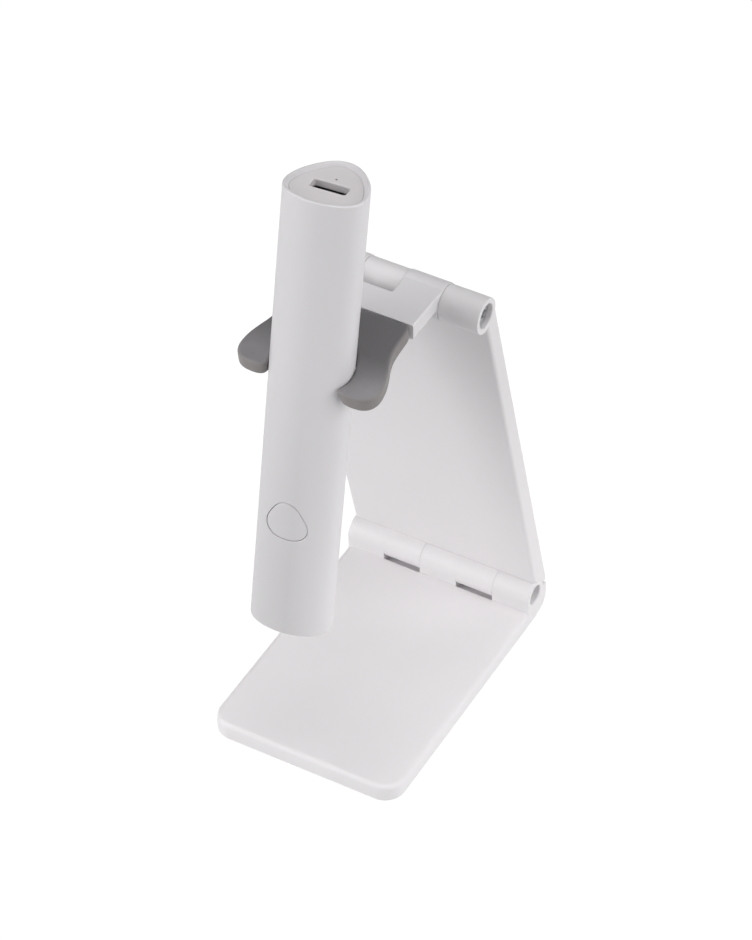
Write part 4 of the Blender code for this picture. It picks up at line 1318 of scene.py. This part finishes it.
def pale(tree, reflect, glow):
    """A matt surface that also glows, as a lit white table does."""
    matt = new_node(tree, "ShaderNodeBsdfDiffuse", Color=(reflect, reflect, reflect, 1))
    light = new_node(tree, "ShaderNodeEmission", Color=WHITE, Strength=glow)
    return new_node(tree, "ShaderNodeAddShader", matt.outputs[0], light.outputs[0]).outputs[0]


def mix_shaders(tree, factor, first, second):
    return new_node(tree, "ShaderNodeMixShader", factor, first, second).outputs[0]


def camera_ray(tree):
    return new_node(tree, "ShaderNodeLightPath").outputs["Is Camera Ray"]


def floor_material():
    """Nearly white to the camera, dimmer as a light on the lamp, and clear from below."""
    material = bpy.data.materials.new("floor")
    material.use_nodes = True
    tree = material.node_tree
    tree.nodes.clear()
    lighting = pale(tree, reflect=0.30, glow=0.48)
    seen = pale(tree, reflect=0.10, glow=0.955)
    top = mix_shaders(tree, camera_ray(tree), lighting, seen)
    through = new_node(tree, "ShaderNodeBsdfTransparent").outputs[0]
    below = new_node(tree, "ShaderNodeNewGeometry").outputs["Backfacing"]
    surface = mix_shaders(tree, below, top, through)
    new_node(tree, "ShaderNodeOutputMaterial", Surface=surface)
    return material


floor_mesh = bpy.data.meshes.new("floor")
floor_corners = [(x * FLOOR_HALF, y * FLOOR_HALF, 0) for x, y in ((-1, -1), (1, -1), (1, 1), (-1, 1))]
floor_mesh.from_pydata(floor_corners, [], [(0, 1, 2, 3)])
floor = bpy.data.objects.new("floor", floor_mesh)
scene.collection.objects.link(floor)
floor_mesh.materials.append(floor_material())

# white to the camera, a faint ambient light to everything else
world = bpy.data.worlds.new("studio")
scene.world = world
world.use_nodes = True
tree = world.node_tree
tree.nodes.clear()
ambient = new_node(tree, "ShaderNodeBackground", Color=(1.0, 0.99, 1.0, 1), Strength=0.02)
backdrop = new_node(tree, "ShaderNodeBackground", Color=WHITE, Strength=1.0)
surface = mix_shaders(tree, camera_ray(tree), ambient.outputs[0], backdrop.outputs[0])
new_node(tree, "ShaderNodeOutputWorld", Surface=surface)

# ================================================================ lights and camera
centre = (CAD_LO + CAD_HI) / 2
foot = Vector((centre.x, centre.y, 0.0))
# name: direction from the target, distance (m), size (m), power (W), target, spread (degrees)
LIGHTS = {
    "top_box": ((0.0, 0.0, 1.0), 0.9, 0.8, 3.9, centre, 180),
    "front_high_box": ((0.2, -0.8, 0.9), 0.9, 0.7, 0.15, centre, 180),
    "front_left_box": ((-0.7, -0.8, 0.4), 0.9, 0.7, 5.9, centre, 180),
    "right_box": ((1.0, 0.1, 0.35), 0.9, 0.7, 5.1, centre, 180),
    "back_high_box": ((0.0, 0.8, 0.9), 0.9, 0.7, 1.2, centre, 180),
    "base_right_beam": ((0.9, -0.5, 0.5), 0.8, 0.25, 0.014, foot, 24),
}
for name, (direction, distance, size, power, target, spread) in LIGHTS.items():
    away = Vector(direction).normalized()
    data = bpy.data.lights.new(name, "AREA")
    data.shape, data.size, data.energy, data.spread = "SQUARE", size, power, math.radians(spread)
    lamp = bpy.data.objects.new(name, data)
    scene.collection.objects.link(lamp)
    lamp.location = target + away * distance
    lamp.rotation_mode = "QUATERNION"
    lamp.rotation_quaternion = (-away).to_track_quat("-Z", "Y")
    lamp.visible_camera = False

# the camera stands to the front and right of the lamp and looks down on it
TURN, PITCH = math.radians(28.99), math.radians(42.77)
CAMERA_AT = (0.4082, -0.7407, 0.8605)
back = Vector((
    math.sin(TURN) * math.cos(PITCH), -math.cos(TURN) * math.cos(PITCH), math.sin(PITCH)
))
right = Vector((math.cos(TURN), math.sin(TURN), 0))
camera_data = bpy.data.cameras.new("camera")
camera = bpy.data.objects.new("camera", camera_data)
scene.collection.objects.link(camera)
camera.matrix_world = frame_matrix(right, back.cross(right), back, CAMERA_AT)
camera_data.sensor_width = 36
camera_data.lens = 156.84702
camera_data.clip_start, camera_data.clip_end = 0.01, 20
scene.camera = camera
scene.view_settings.view_transform = "Standard"
scene.view_settings.look = "None"
